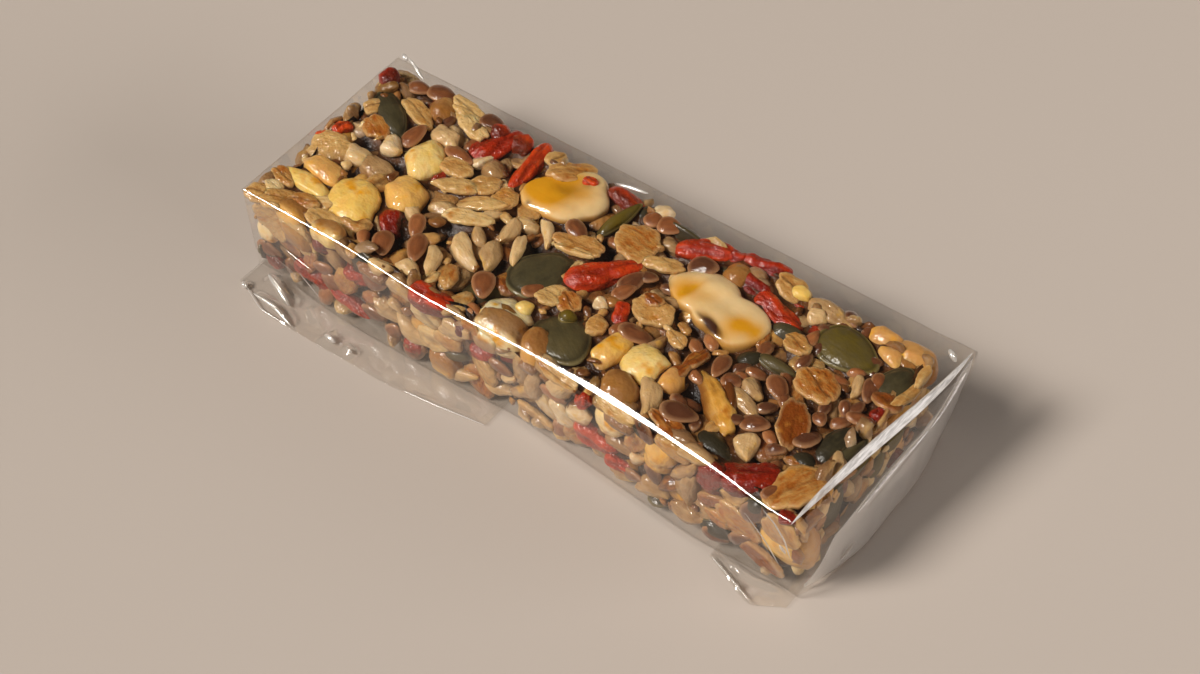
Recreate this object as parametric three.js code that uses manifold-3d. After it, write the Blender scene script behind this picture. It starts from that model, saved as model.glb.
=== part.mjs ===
// A granola bar of seeds, nuts, flakes and dried berries, set in syrup and sealed in clear film.
//
// Millimetres, +Z up. The bar lies on its largest face with its length along X. The film is tight
// over the top, the near side and the left end, and stands off the bar along the far side and at the
// right end, where it is folded down like a parcel. Its four corner tucks lie flat as thin flaps.
// The wrapped bar is one closed solid: the film's outer form, with the pieces that press against the
// film standing out of it, and the tucks joined to its foot. The origin is under the middle of its box.

import * as THREE from 'three';
import { mergeVertices } from 'three/addons/utils/BufferGeometryUtils.js';
import Module from 'manifold-3d';

const wasm = await Module();
wasm.setup();

// ---------------------------------------------------------------- driving dimensions

// The wrapped form, about the middle of the bar itself.
const PACK = {
  left: -51, // the tight left end
  right: 54, // the loose right end, before its fold and bulge
  near: -18.2, // the side towards the viewer
  far: 19.35, // the side behind, where the film stands off the bar
  height: 17.6, // the film's taut edges
  bed: 16.1, // the syrup level that the pieces stand out of
  corner: 1.4, // rounding of every edge
};

// The right end: where the top panel folds over, and where the end panel meets the table.
const END = {
  start: 44, // from here on the film leaves the bar
  foldNear: 51.3,
  foldFar: 55.6,
  foot: 55.5,
  footPinch: 3.8, // how far the foot draws in at both corners
  bulge: 1.0, // how far the panel swells between fold and foot
};

// The sides flare a little towards the loose end.
const FLARE = { near: 1.9, from: 32, over: 18, farSlope: 0.017 };

// The near foot of the bar, which bulges unevenly under the film.
const FOOT_WAVE = { depth: 0.5, length: 41, phase: 0.9 };

// A taut border of film: how wide it runs along the far side and over the right end, and how soon
// it has risen to the film's height.
const BORDER = { far: 2.4, right: 2.2, farRise: 1.2, rightRise: 1.6 };

// How finely the wrapped form is divided along each axis, and where in a rounded edge its stop lies.
const SPANS = { x: 12, y: 8, z: 3, inEdge: 0.3 };

// The tucks: flat flaps of film that spread from under the bar at its four corners. Their ridges
// swing by the share sway about the rest of their height.
const TUCK = { thickness: 0.45, ridge: 0.55, sway: 0.4, lap: 3, spans: 10, deep: 3 };

// Each tuck's outline: where it starts and ends along X, and its reach from the middle line.
const TUCKS = [
  { side: -1, from: -50.6, to: -1.5, reach: [21.8, 24.9, 25, 24.6, 24.5, 23, 21.3], ridges: 7 },
  { side: -1, from: 38.4, to: 52, reach: [20.6, 22.7, 24.5, 21.6], ridges: 2 },
  { side: 1, from: -50.6, to: -12, reach: [21.9, 24.6, 25, 24.2, 22.8, 21.4], ridges: 5 },
  { side: 1, from: 39.5, to: 52, reach: [21.2, 23.4, 24.3, 21.8], ridges: 2 },
];

// How each kind of piece is shaped. The faces run round its length and along it, crown is how far
// it stands out of the bed, thick is its whole depth, taper draws one end to a point, and rough is
// how uneven its skin is. A flat piece has its poles on its broad faces.
const KINDS = {
  pumpkin_seed: { around: 8, along: 5, crown: 1.3, thick: 3, taper: 0.28, rough: 0.03 },
  goji_berry: { around: 8, along: 5, crown: 1.5, thick: 4.2, taper: 0.16, rough: 0.1 },
  nut: { around: 8, along: 5, crown: 1.6, thick: 6, taper: 0.05, rough: 0.1 },
  cashew: { around: 8, along: 7, crown: 1.6, thick: 5, taper: 0.1, rough: 0.03, bend: 0.12 },
  kernel: { around: 6, along: 4, crown: 1.1, thick: 2.8, taper: 0.3, rough: 0.05 },
  flake: { around: 9, along: 3, crown: 1.1, thick: 1.6, taper: 0, rough: 0.1, flat: true },
  shard: { around: 6, along: 5, crown: 1.3, thick: 2.6, taper: 0.1, rough: 0.14 },
  flax: { around: 6, along: 3, crown: 1, thick: 2, taper: 0.3, rough: 0.02 },
};

// Main pieces on the top: x, y, length, width, heading in degrees from +X towards +Y.
const ON_TOP = {
  pumpkin_seed: [
    [-44.3, 8.8, 12, 5.2, -32], [-4.5, -3.6, 11, 8.4, 72], [5.6, -11.4, 11, 9, -30],
    [39.8, 10.3, 11.4, 7.4, -8], [48.6, 9, 8, 5.4, 84], [48.4, -4.2, 9.4, 5, 76],
    [-1.5, 11.5, 9, 2.6, 75], [34.2, -14, 7, 4.4, -15],
  ],
  goji_berry: [
    [-26.2, 13.3, 10, 5.4, 66], [-19.3, 12.8, 11.4, 3.4, -86], [12.3, 14, 8.4, 4.8, 16],
    [21.3, 16.6, 8, 3.8, 14], [25.8, 11.6, 15, 4.8, -18], [3.2, 1.6, 12.4, 5, 53],
    [-28.8, -9, 6, 5, -50], [-14.3, -16.6, 8.2, 4.6, 8], [41.3, -15.8, 8.8, 5.6, 35],
    [9.8, -2.9, 5, 3.4, -65], [-48.4, 1.6, 4, 3, 60], [-41.5, 16.2, 7, 3.8, 12],
  ],
  nut: [
    [-33.3, 4.4, 8.4, 6.6, -35], [-31, -3, 8.4, 7.4, -10], [-36.2, -8.7, 9.6, 9, 0],
    [-45.2, -8.6, 10.4, 7, -8], [-10.6, 9.8, 13, 11, 24], [17.8, -8.7, 8.6, 7.6, 0],
    [11.8, -9.6, 8, 4.8, 86], [-3.2, -14, 10.6, 9.4, 62], [48, 15, 7.6, 6.4, 20],
    [42.3, 15.8, 6, 4, 10],
  ],
  cashew: [[20.6, 5.6, 19, 8.4, -21]],
  kernel: [
    [-39.6, -1.1, 12, 4.8, -4], [-18.8, -11.3, 7.4, 3.1, -62], [-15.6, -7.1, 8.4, 3.9, -24],
    [22.3, -13.2, 8.6, 3.7, -57], [33, -6, 7.4, 3.3, -16], [34.3, 14.8, 8.2, 3.7, -6],
    [-33.6, 9.9, 7, 4.6, -14], [-20.6, -14.6, 5.6, 3.1, -20], [38.3, -12, 5.2, 4, -72],
    [-12.6, -5.2, 6.6, 4.2, -60], [-39, 3.5, 4.8, 4, -20], [-23, 8.5, 4.4, 4.1, 0],
  ],
  flake: [
    [-46.9, -2.4, 7.4, 6, 32], [-33, 14.9, 9.4, 6, -22], [-33.8, -15.8, 10, 6, -6],
    [3.8, 9.2, 7.8, 7.2, 0], [12.8, 0.2, 7.2, 5.8, -18], [40.2, 2.3, 7.8, 5.8, -26],
    [-12.9, 14.5, 7, 5.6, 70], [27.6, 15.4, 6, 4, -10], [47.6, -14, 9.2, 7.2, 66],
    [41.3, -5.4, 9, 4.8, -62], [-0.4, -6.4, 5.4, 5, 10], [-25.6, 2.6, 8.2, 4.2, 25],
    [-20.2, 2.4, 8.6, 4.4, 20], [-3, 3.6, 8.4, 4.6, 8], [-19.6, -2, 8, 4, 22],
    [-45.2, -15.6, 8, 4.8, 25], [27.6, -15.9, 8, 3.6, -12], [-14.2, 0.2, 6, 4.2, -65],
    [-40.6, 11.4, 8, 3.8, -16], [9.4, 7.9, 6.6, 3.4, 20],
  ],
  shard: [[29.6, -8, 14, 3.8, -38], [-8.6, 3, 6.6, 2.4, -48]],
  flax: [
    [-37.9, 7, 5.2, 3.2, 80], [-29.4, 7.8, 6, 2.6, -8], [-22.1, -10.9, 6, 3, -62],
    [-25, -7.5, 4.8, 2.6, -60], [-26.9, -13, 5.2, 3.4, -50], [2.8, 14.5, 3.4, 2.8, 90],
    [5.7, 14.6, 4.2, 3.2, 10], [-5, 5.9, 4.6, 2.9, -22], [14, -5, 5.6, 3.1, 14],
    [27.2, -2.8, 5, 2.5, -80], [36, -1.3, 4.7, 3, -36], [36.9, -8.3, 4.7, 3.1, 14],
    [27.4, -13, 5.8, 3.7, 18], [44.1, -6.2, 4.6, 3.6, 60], [48.2, 0.9, 4.4, 2.3, 18],
    [14.4, 11, 5, 3.5, 12], [7.6, 2.6, 5, 3, 70], [-2.8, -7, 4.4, 2.6, 65],
    [46.4, 6, 4.6, 2.4, -70], [-9.6, -10.6, 5, 3.6, -55],
  ],
};

// Main pieces on the near side: x, z, length, width, heading in degrees from +X towards +Z.
const ON_NEAR_SIDE = {
  nut: [[-2, 15.2, 9.6, 5.6, 0], [27.2, 10.6, 8, 6, 78], [18.8, 12.2, 8.6, 6.4, 55]],
  goji_berry: [
    [-31, 4, 9, 3.2, -14], [-39, 4.6, 8, 3.4, -6], [16, 6.2, 8, 4.4, -12], [36.6, 13.4, 6.4, 5, 70],
    [-5, 10, 4.4, 3.2, 0],
  ],
  kernel: [
    [-17.6, 6, 8, 3.6, -10], [10, 7.1, 5.6, 4.4, -30], [-9.8, 12.4, 7.2, 5, 20], [-10, 3.1, 8.4, 3, 0],
    [-2, 4.2, 7, 3, 4], [26.4, 3, 6, 3.8, 12], [33, 3.4, 6.2, 3.2, -8], [10, 13, 6.4, 4.6, 50],
  ],
  flake: [
    [-46, 12.4, 8.6, 7, 40], [-40, 11.6, 8, 6, -30], [-20, 13.4, 7.6, 4.4, 10], [9.6, 16.4, 8, 3, -8],
    [41.6, 8.6, 8.4, 5, -28], [48, 12, 6.6, 5.4, -50], [45.6, 3.4, 8, 3.6, -18],
  ],
  flax: [
    [-18, 2, 4.4, 3.2, 40], [-28, 13.4, 5, 3.6, 20], [-22, 4, 4, 2.8, 60], [25, 14.8, 5, 3.4, -60],
    [44, 13, 5, 3.4, 65], [38, 2.4, 4.4, 2.8, -10], [-48.4, 4, 4.8, 3, -20], [-35.8, 8.6, 4.2, 3, 30],
  ],
};

// The share of a crown that the film presses back on the near side and the left end.
const FLUSH = 0.4;

// The widest span of angles, in radians, by which pieces on the top lean.
const LEAN = 0.16;

// Small seeds and flakes strewn between the main ones, and pieces on the tight left end.
const STREWN = {
  seed: 41,
  tries: 260,
  most: 26,
  gap: 0.78, // how close two pieces may lie, as a share of their reach
  left: -48,
  right: 50,
  side: 16,
  flaxShare: 0.6,
  shortest: 3.6,
  longest: 5,
  slimness: 0.66,
};
const AT_LEFT_END = {
  seed: 7,
  kinds: ['flake', 'kernel', 'flax', 'goji_berry', 'nut'],
  rows: 3,
  columns: 5,
  side: 14,
  low: 3.4,
  high: 12.6,
  jog: 2,
  length: 6.4,
  width: 4.2,
  smallest: 0.8,
  largest: 1.15,
};

// What the unevenness of the pieces is drawn from.
const PIECE_SEED = 1905;

// ---------------------------------------------------------------- small helpers

const mix = (from, to, share) => from + (to - from) * share;
const clamp = (value, low, high) => Math.min(high, Math.max(low, value));
const smooth = (share) => THREE.MathUtils.smoothstep(share, 0, 1);
const radians = THREE.MathUtils.degToRad;

// A repeatable random draw between 0 and 1, by a multiplicative congruential rule.
const DRAW = { factor: 16807, modulus: 2147483647 };
function draws(seed) {
  let state = seed;
  return () => {
    state = (state * DRAW.factor) % DRAW.modulus;
    return state / DRAW.modulus;
  };
}

// A value read smoothly between evenly spaced stops.
function readAlong(stops, share) {
  const place = clamp(share, 0, 1) * (stops.length - 1);
  const index = Math.min(Math.floor(place), stops.length - 2);
  return mix(stops[index], stops[index + 1], smooth(place - index));
}

// Vertices closer than this are one.
const WELD = 1e-4;

// A three.js geometry as a manifold-3d solid.
function toSolid(geometry) {
  geometry.deleteAttribute('normal');
  geometry.deleteAttribute('uv');
  const merged = mergeVertices(geometry, WELD);
  return new wasm.Manifold(new wasm.Mesh({
    numProp: 3,
    vertProperties: new Float32Array(merged.attributes.position.array),
    triVerts: new Uint32Array(merged.index.array),
  }));
}

// A manifold-3d solid as a three.js geometry.
function toGeometry(solid) {
  const mesh = solid.getMesh();
  const geometry = new THREE.BufferGeometry();
  geometry.setAttribute('position', new THREE.BufferAttribute(new Float32Array(mesh.vertProperties), 3));
  geometry.setIndex(new THREE.BufferAttribute(new Uint32Array(mesh.triVerts), 1));
  return geometry;
}

// Moves every vertex of a geometry by a function of its place.
function reshape(geometry, move) {
  const places = geometry.attributes.position;
  const place = new THREE.Vector3();
  for (let i = 0; i < places.count; i += 1) {
    place.fromBufferAttribute(places, i);
    move(place);
    places.setXYZ(i, place.x, place.y, place.z);
  }
  return geometry;
}

// ---------------------------------------------------------------- the wrapped form

// The line along which the top panel folds over at the right end.
const foldAt = (y) => mix(END.foldNear, END.foldFar, smooth((y - PACK.near) / (PACK.far - PACK.near)));

// The right end panel: from its fold to its foot, swelling between them.
function endAt(y, z) {
  const rise = clamp(z / PACK.height, 0, 1);
  const foot = END.foot - END.footPinch * Math.abs(y / PACK.far) ** 3;
  return mix(foot, foldAt(y), rise) + END.bulge * 4 * rise * (1 - rise);
}

// The near side, which flares towards the right end and is wavy at its foot.
function nearAt(x, z) {
  const low = 1 - clamp(z / PACK.height, 0, 1);
  const wave = FOOT_WAVE.depth * (1 + Math.sin((x / FOOT_WAVE.length) * 2 * Math.PI + FOOT_WAVE.phase));
  return PACK.near - FLARE.near * smooth((x - FLARE.from) / FLARE.over) - low * wave;
}

const farAt = (x) => PACK.far + FLARE.farSlope * x;

// The top: the bed of syrup, with the film's taut border along the far side and the right end.
function topAt(x, y) {
  const far = smooth((y - (farAt(x) - BORDER.far)) / BORDER.farRise);
  const right = smooth((x - (foldAt(y) - BORDER.right)) / BORDER.rightRise);
  return mix(PACK.bed, PACK.height, Math.max(far, right));
}

// Stops from low to high that crowd at both ends, where an edge is rounded.
function roundedStops(low, high, spans) {
  const inner = [low + PACK.corner, high - PACK.corner];
  const stops = [low, low + PACK.corner * SPANS.inEdge];
  for (let i = 0; i <= spans; i += 1) {
    stops.push(mix(inner[0], inner[1], i / spans));
  }
  stops.push(high - PACK.corner * SPANS.inEdge, high);
  return stops;
}

// The film's outer form: a box with rounded edges, its six faces bent to the curves above.
function wrappedForm() {
  const low = new THREE.Vector3(PACK.left, PACK.near, 0);
  const high = new THREE.Vector3(PACK.right, PACK.far, PACK.height);
  const stops = {
    x: roundedStops(low.x, high.x, SPANS.x),
    y: roundedStops(low.y, high.y, SPANS.y),
    z: roundedStops(low.z, high.z, SPANS.z),
  };
  const box = new THREE.BoxGeometry(
    2, 2, 2, stops.x.length - 1, stops.y.length - 1, stops.z.length - 1,
  );
  const innerLow = low.clone().addScalar(PACK.corner);
  const innerHigh = high.clone().subScalar(PACK.corner);
  const inner = new THREE.Vector3();
  return reshape(box, (place) => {
    for (const axis of ['x', 'y', 'z']) {
      const list = stops[axis];
      place[axis] = list[Math.round(((place[axis] + 1) / 2) * (list.length - 1))];
    }
    inner.copy(place).clamp(innerLow, innerHigh);
    place.sub(inner).setLength(PACK.corner).add(inner);
    const { x, y, z } = place;
    const loose = smooth((x - END.start) / (PACK.right - END.start));
    place.x = x + loose * (endAt(y, z) - PACK.right);
    place.y = y < 0 ? y * (nearAt(place.x, z) / PACK.near) : y * (farAt(place.x) / PACK.far);
    place.z = z * (topAt(place.x, place.y) / PACK.height);
  });
}

// One tuck: a thin flap on the table with shallow ridges that run out from the corner.
function tuckForm({ side, from, to, reach, ridges }) {
  const flap = new THREE.BoxGeometry(1, 1, 1, TUCK.spans, TUCK.deep, 1);
  const inside = Math.abs(PACK.near) - TUCK.lap;
  return reshape(flap, (place) => {
    const run = place.x + 0.5;
    const out = side > 0 ? place.y + 0.5 : 0.5 - place.y;
    const swing = 1 - TUCK.sway + TUCK.sway * Math.sin(run * ridges * Math.PI);
    const ridge = TUCK.ridge * out * (1 - out) * 4 * swing;
    place.x = mix(from, to, run);
    place.y = side * mix(inside, readAlong(reach, run), out);
    place.z = place.z > 0 ? TUCK.thickness + ridge : 0;
  });
}

// ---------------------------------------------------------------- the pieces

// A seed, nut, berry or flake about the origin: its length along X and its crown towards +Z.
function pieceForm(kind, length, width, random) {
  const { around, along, thick, taper, rough, flat, bend } = KINDS[kind];
  const ball = new THREE.SphereGeometry(1, around, along);
  if (flat) {
    ball.rotateX(Math.PI / 2);
  } else {
    ball.rotateZ(Math.PI / 2);
  }
  const phases = [random() * 6, random() * 6, random() * 6];
  return reshape(ball, (place) => {
    const { x, y, z } = place;
    const uneven = 1 + rough * (Math.sin(5 * x + phases[0]) + Math.sin(6 * y + phases[1])
      + Math.sin(4 * z + phases[2]));
    const across = 1 - taper * x;
    place.x = (x * length * uneven) / 2;
    place.y = (y * width * across * uneven) / 2 + (bend ? bend * length * (0.5 - x * x) : 0);
    place.z = (z * thick * across) / 2;
  });
}

// Places a piece on a face: its local X turned by heading, then its crown set proud of the face.
function settle(geometry, facing, heading, place, tilt) {
  const turn = new THREE.Matrix4().makeRotationZ(radians(heading));
  const lean = new THREE.Matrix4().makeRotationFromEuler(new THREE.Euler(tilt[0], tilt[1], 0));
  geometry.applyMatrix4(turn.multiply(lean));
  geometry.applyMatrix4(facing);
  geometry.translate(place.x, place.y, place.z);
  return geometry;
}

// Turns that carry a piece's length and crown onto each face of the bar.
const FACING = {
  top: new THREE.Matrix4(),
  near: new THREE.Matrix4().makeRotationX(Math.PI / 2),
  left: new THREE.Matrix4().makeRotationX(Math.PI / 2).premultiply(
    new THREE.Matrix4().makeRotationZ(-Math.PI / 2),
  ),
};

// Depth of a piece's middle below its face, so that only its crown shows.
const sink = (kind) => KINDS[kind].thick / 2 - KINDS[kind].crown;

// The top's own pieces stop short of the film's taut height.
function topPiece(kind, [x, y, length, width, heading], random) {
  const tilt = [(random() - 0.5) * LEAN, (random() - 0.5) * LEAN];
  const place = new THREE.Vector3(x, y, PACK.bed - sink(kind));
  return settle(pieceForm(kind, length, width, random), FACING.top, heading, place, tilt);
}

function nearPiece(kind, [x, z, length, width, heading], random) {
  const depth = sink(kind) + KINDS[kind].crown * FLUSH;
  const place = new THREE.Vector3(x, nearAt(x, z) + depth, z);
  return settle(pieceForm(kind, length, width, random), FACING.near, heading, place, [0, 0]);
}

function leftPiece(kind, [y, z, length, width, heading], random) {
  const depth = sink(kind) + KINDS[kind].crown * FLUSH;
  const place = new THREE.Vector3(PACK.left + depth, y, z);
  return settle(pieceForm(kind, length, width, random), FACING.left, heading, place, [0, 0]);
}

// Every listed piece of a face.
function listedPieces(lists, make, random) {
  return Object.entries(lists).flatMap(([kind, rows]) => rows.map((row) => make(kind, row, random)));
}

// Small seeds dropped at random where the main pieces leave room.
function strewnPieces() {
  const random = draws(STREWN.seed);
  const taken = Object.values(ON_TOP).flat().map(([x, y, length, width]) => [x, y, (length + width) / 4]);
  const dropped = [];
  for (let attempt = 0; attempt < STREWN.tries && dropped.length < STREWN.most; attempt += 1) {
    const x = mix(STREWN.left, STREWN.right, random());
    const y = mix(-STREWN.side, STREWN.side, random());
    const kind = random() < STREWN.flaxShare ? 'flax' : 'flake';
    const length = mix(STREWN.shortest, STREWN.longest, random());
    const heading = random() * 180;
    const free = taken.every(([a, b, reach]) => Math.hypot(x - a, y - b) > STREWN.gap * (reach + length / 2));
    if (free) {
      taken.push([x, y, length / 2]);
      dropped.push(topPiece(kind, [x, y, length, length * STREWN.slimness, heading], random));
    }
  }
  return dropped;
}

// A loose grid of pieces over the left end, each jogged and turned at random.
function leftEndPieces() {
  const { kinds, rows, columns, side, low, high, jog, length, width, smallest, largest } = AT_LEFT_END;
  const random = draws(AT_LEFT_END.seed);
  const pieces = [];
  for (let level = 0; level < rows; level += 1) {
    for (let column = 0; column < columns; column += 1) {
      const y = mix(-side, side, (column + 0.5 * (level % 2)) / columns) + random() * jog;
      const z = mix(low, high, level / (rows - 1)) + (random() - 0.5);
      const kind = kinds[Math.floor(random() * kinds.length)];
      const size = mix(smallest, largest, random());
      pieces.push(leftPiece(kind, [y, z, length * size, width * size, random() * 180], random));
    }
  }
  return pieces;
}

// ---------------------------------------------------------------- the solid

const unevenness = draws(PIECE_SEED);
let solid = toSolid(wrappedForm());
for (const tuck of TUCKS) {
  solid = solid.add(toSolid(tuckForm(tuck)));
}
const pieces = [
  ...listedPieces(ON_TOP, topPiece, unevenness),
  ...listedPieces(ON_NEAR_SIDE, nearPiece, unevenness),
  ...strewnPieces(),
  ...leftEndPieces(),
];
for (const piece of pieces) {
  solid = solid.add(toSolid(piece));
}

const wrapped = toGeometry(solid);
wrapped.computeBoundingBox();
const middle = wrapped.boundingBox.getCenter(new THREE.Vector3());
wrapped.translate(-middle.x, -middle.y, -wrapped.boundingBox.min.z);

const wrappedBar = new THREE.Mesh(
  wrapped,
  new THREE.MeshStandardMaterial({ color: 0x9c6b35, roughness: 0.25, metalness: 0 }),
);
wrappedBar.name = 'wrapped_bar';

const granolaBar = new THREE.Group();
granolaBar.add(wrappedBar);

export default granolaBar;
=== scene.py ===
"""The finish of a granola bar: seeds, nuts, flakes and dried berries in syrup, sealed in clear film.

Lengths are in millimetres about the middle of the bar itself, +X towards the loose end of its film,
-Y towards the viewer and +Z up from the table. Pack turns them into the frame's metres.
"""

import logging
from dataclasses import dataclass, field
from enum import Enum

import bpy
import numpy as np
from mathutils import Matrix, Vector


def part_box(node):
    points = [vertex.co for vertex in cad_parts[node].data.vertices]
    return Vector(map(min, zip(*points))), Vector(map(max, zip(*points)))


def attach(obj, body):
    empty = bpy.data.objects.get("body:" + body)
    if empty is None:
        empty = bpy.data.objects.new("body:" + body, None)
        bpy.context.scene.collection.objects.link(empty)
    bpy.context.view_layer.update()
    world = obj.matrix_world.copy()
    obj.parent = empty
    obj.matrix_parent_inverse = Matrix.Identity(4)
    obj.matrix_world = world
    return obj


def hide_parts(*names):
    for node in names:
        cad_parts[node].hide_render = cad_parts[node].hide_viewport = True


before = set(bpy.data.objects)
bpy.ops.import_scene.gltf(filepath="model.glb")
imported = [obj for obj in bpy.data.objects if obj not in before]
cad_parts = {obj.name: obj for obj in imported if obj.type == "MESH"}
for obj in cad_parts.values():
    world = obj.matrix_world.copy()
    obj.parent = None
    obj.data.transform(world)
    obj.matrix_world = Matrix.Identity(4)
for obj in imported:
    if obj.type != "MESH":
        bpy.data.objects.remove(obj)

Array = np.ndarray
Value = np.ndarray | float
Draws = np.random.Generator
Socket = bpy.types.NodeSocket
Colour = tuple[float, float, float]
Place = tuple[float, float, float]
Waves = tuple[float, float, float]
Pair = tuple[float, float]
Line = tuple[Pair, ...]
Rows = tuple[tuple[float, ...], ...]
Four = tuple[float, float, float, float]
Formed = tuple[Array, dict[str, Array]]

# What a piece's points may carry besides their tone: its rim, lines drawn on it, and stains.
MARKS = ("rim", "line", "stain")

NODE = "wrapped_bar"
MILLIMETRE = 0.001
FLESH_GLOSS = 0.2  # the specular level of what lies under a coat of syrup

log = logging.getLogger("granola_bar")


# ---- numbers

def mix(first: Value, second: Value, share: Value) -> Value:
    """Goes from first to second as share goes from 0 to 1."""
    return first + (second - first) * share


def smooth(share: Value) -> Array:
    """Eases the clamped share s from 0 to 1 as 3s^2 - 2s^3."""
    clamped = np.clip(share, 0, 1)
    return clamped * clamped * (3 - 2 * clamped)


def hill(place: Value, middle: float, width: float) -> Array:
    """A bell of height 1 about middle that falls to 1/e at width."""
    return np.exp(-(((place - middle) / width) ** 2))


def through(place: Array, stops: Line, ease: float = 2) -> Array:
    """A line through stops with its corners eased.

    It is the mean of the straight-sided line at a place and at ease to either side of it.

    Args:
        place: where the line is read.
        stops: pairs of place and value, in rising order.
        ease: how far the corners are eased, in mm.

    Returns:
        The line's values.
    """
    places, values = np.array(stops).T
    reads = [np.interp(place + step, places, values) for step in (-ease, 0, ease)]
    return sum(reads) / len(reads)


def waves(points: Array, length: Value, draws: Draws, count: int = 5) -> Array:
    """An uneven field for each piece: a mean of sine waves in random directions.

    Args:
        points: (pieces, points, 3) places in mm.
        length: the waves' usual length in mm.
        draws: the source of the directions and phases.
        count: how many waves are summed.

    Returns:
        (pieces, points) values of about -1 to 1.
    """
    pieces = points.shape[0]
    directions = draws.normal(size=(pieces, count, 3))
    directions /= np.linalg.norm(directions, axis=2, keepdims=True)
    directions *= 2 * np.pi / length * draws.uniform(0.7, 1.35, (pieces, count, 1))
    phases = draws.uniform(0, 2 * np.pi, (pieces, 1, count))
    return 1.5 * np.sin(np.einsum("pvk,pck->pvc", points, directions) + phases).mean(axis=2)


def ripples(points: Array, long: float, short: float, share: float, draws: Draws) -> Array:
    """Long waves plus a share of short ones, at (points, 3) places."""
    broad = waves(points[None], long, draws)[0]
    return broad + share * waves(points[None], short, draws)[0]


def phases(draws: Draws, pieces: int) -> Array:
    """A random phase for each piece, over about a full turn."""
    return draws.uniform(0, 6.3, (pieces, 1))


def spaced(x: Array, y: Array, z: Array) -> Array:
    """Places from three coordinates, each of which spreads to (pieces, points)."""
    return np.stack(np.broadcast_arrays(x, y, z), axis=2)


def blurred(grid: Array, passes: int) -> Array:
    """A grid smoothed by repeated 1-2-1 means along both axes, its border held.

    Args:
        grid: (rows, columns) values.
        passes: how often it is smoothed.

    Returns:
        The smoothed grid.
    """
    for _ in range(passes):
        for axis in (0, 1):
            padded = np.pad(grid, [(1, 1) if axis == a else (0, 0) for a in (0, 1)], mode="edge")
            before = np.take(padded, range(0, grid.shape[axis]), axis)
            after = np.take(padded, range(2, grid.shape[axis] + 2), axis)
            grid = 0.25 * before + 0.5 * grid + 0.25 * after
    return grid


def pressed(height: Array, power: float) -> Array:
    """Flattens the crown of a height of -1 to 1, and steepens its sides, as a power below 1 of its size."""
    return np.sign(height) * np.abs(height) ** power


def chipped(points: Array, draws: Draws, cuts: int, depth: Pair, firmness: float = 0.7) -> Array:
    """Breaks unit-sized pieces along random planes.

    Args:
        points: (pieces, points, 3) places about each piece's middle.
        draws: the source of the planes.
        cuts: how many planes each piece has.
        depth: the least and greatest distance of a plane from the middle.
        firmness: the share by which points beyond a plane are pushed back to it.

    Returns:
        The broken pieces.
    """
    pieces = len(points)
    for _ in range(cuts):
        way = draws.normal(size=(pieces, 1, 3)) * np.array((1, 1, 0.5))
        way /= np.linalg.norm(way, axis=2, keepdims=True)
        over = np.maximum((points * way).sum(axis=2) - draws.uniform(*depth, (pieces, 1)), 0)
        points = points - firmness * over[..., None] * way
    return points


def tint(red: float, green: float, blue: float) -> Colour:
    """A colour written in screen values of 0 to 255, as linear light."""
    share = np.array((red, green, blue)) / 255
    linear = np.where(share <= 0.04045, share / 12.92, ((share + 0.055) / 1.055) ** 2.4)
    return tuple(float(value) for value in linear)


# ---- meshes

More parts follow.
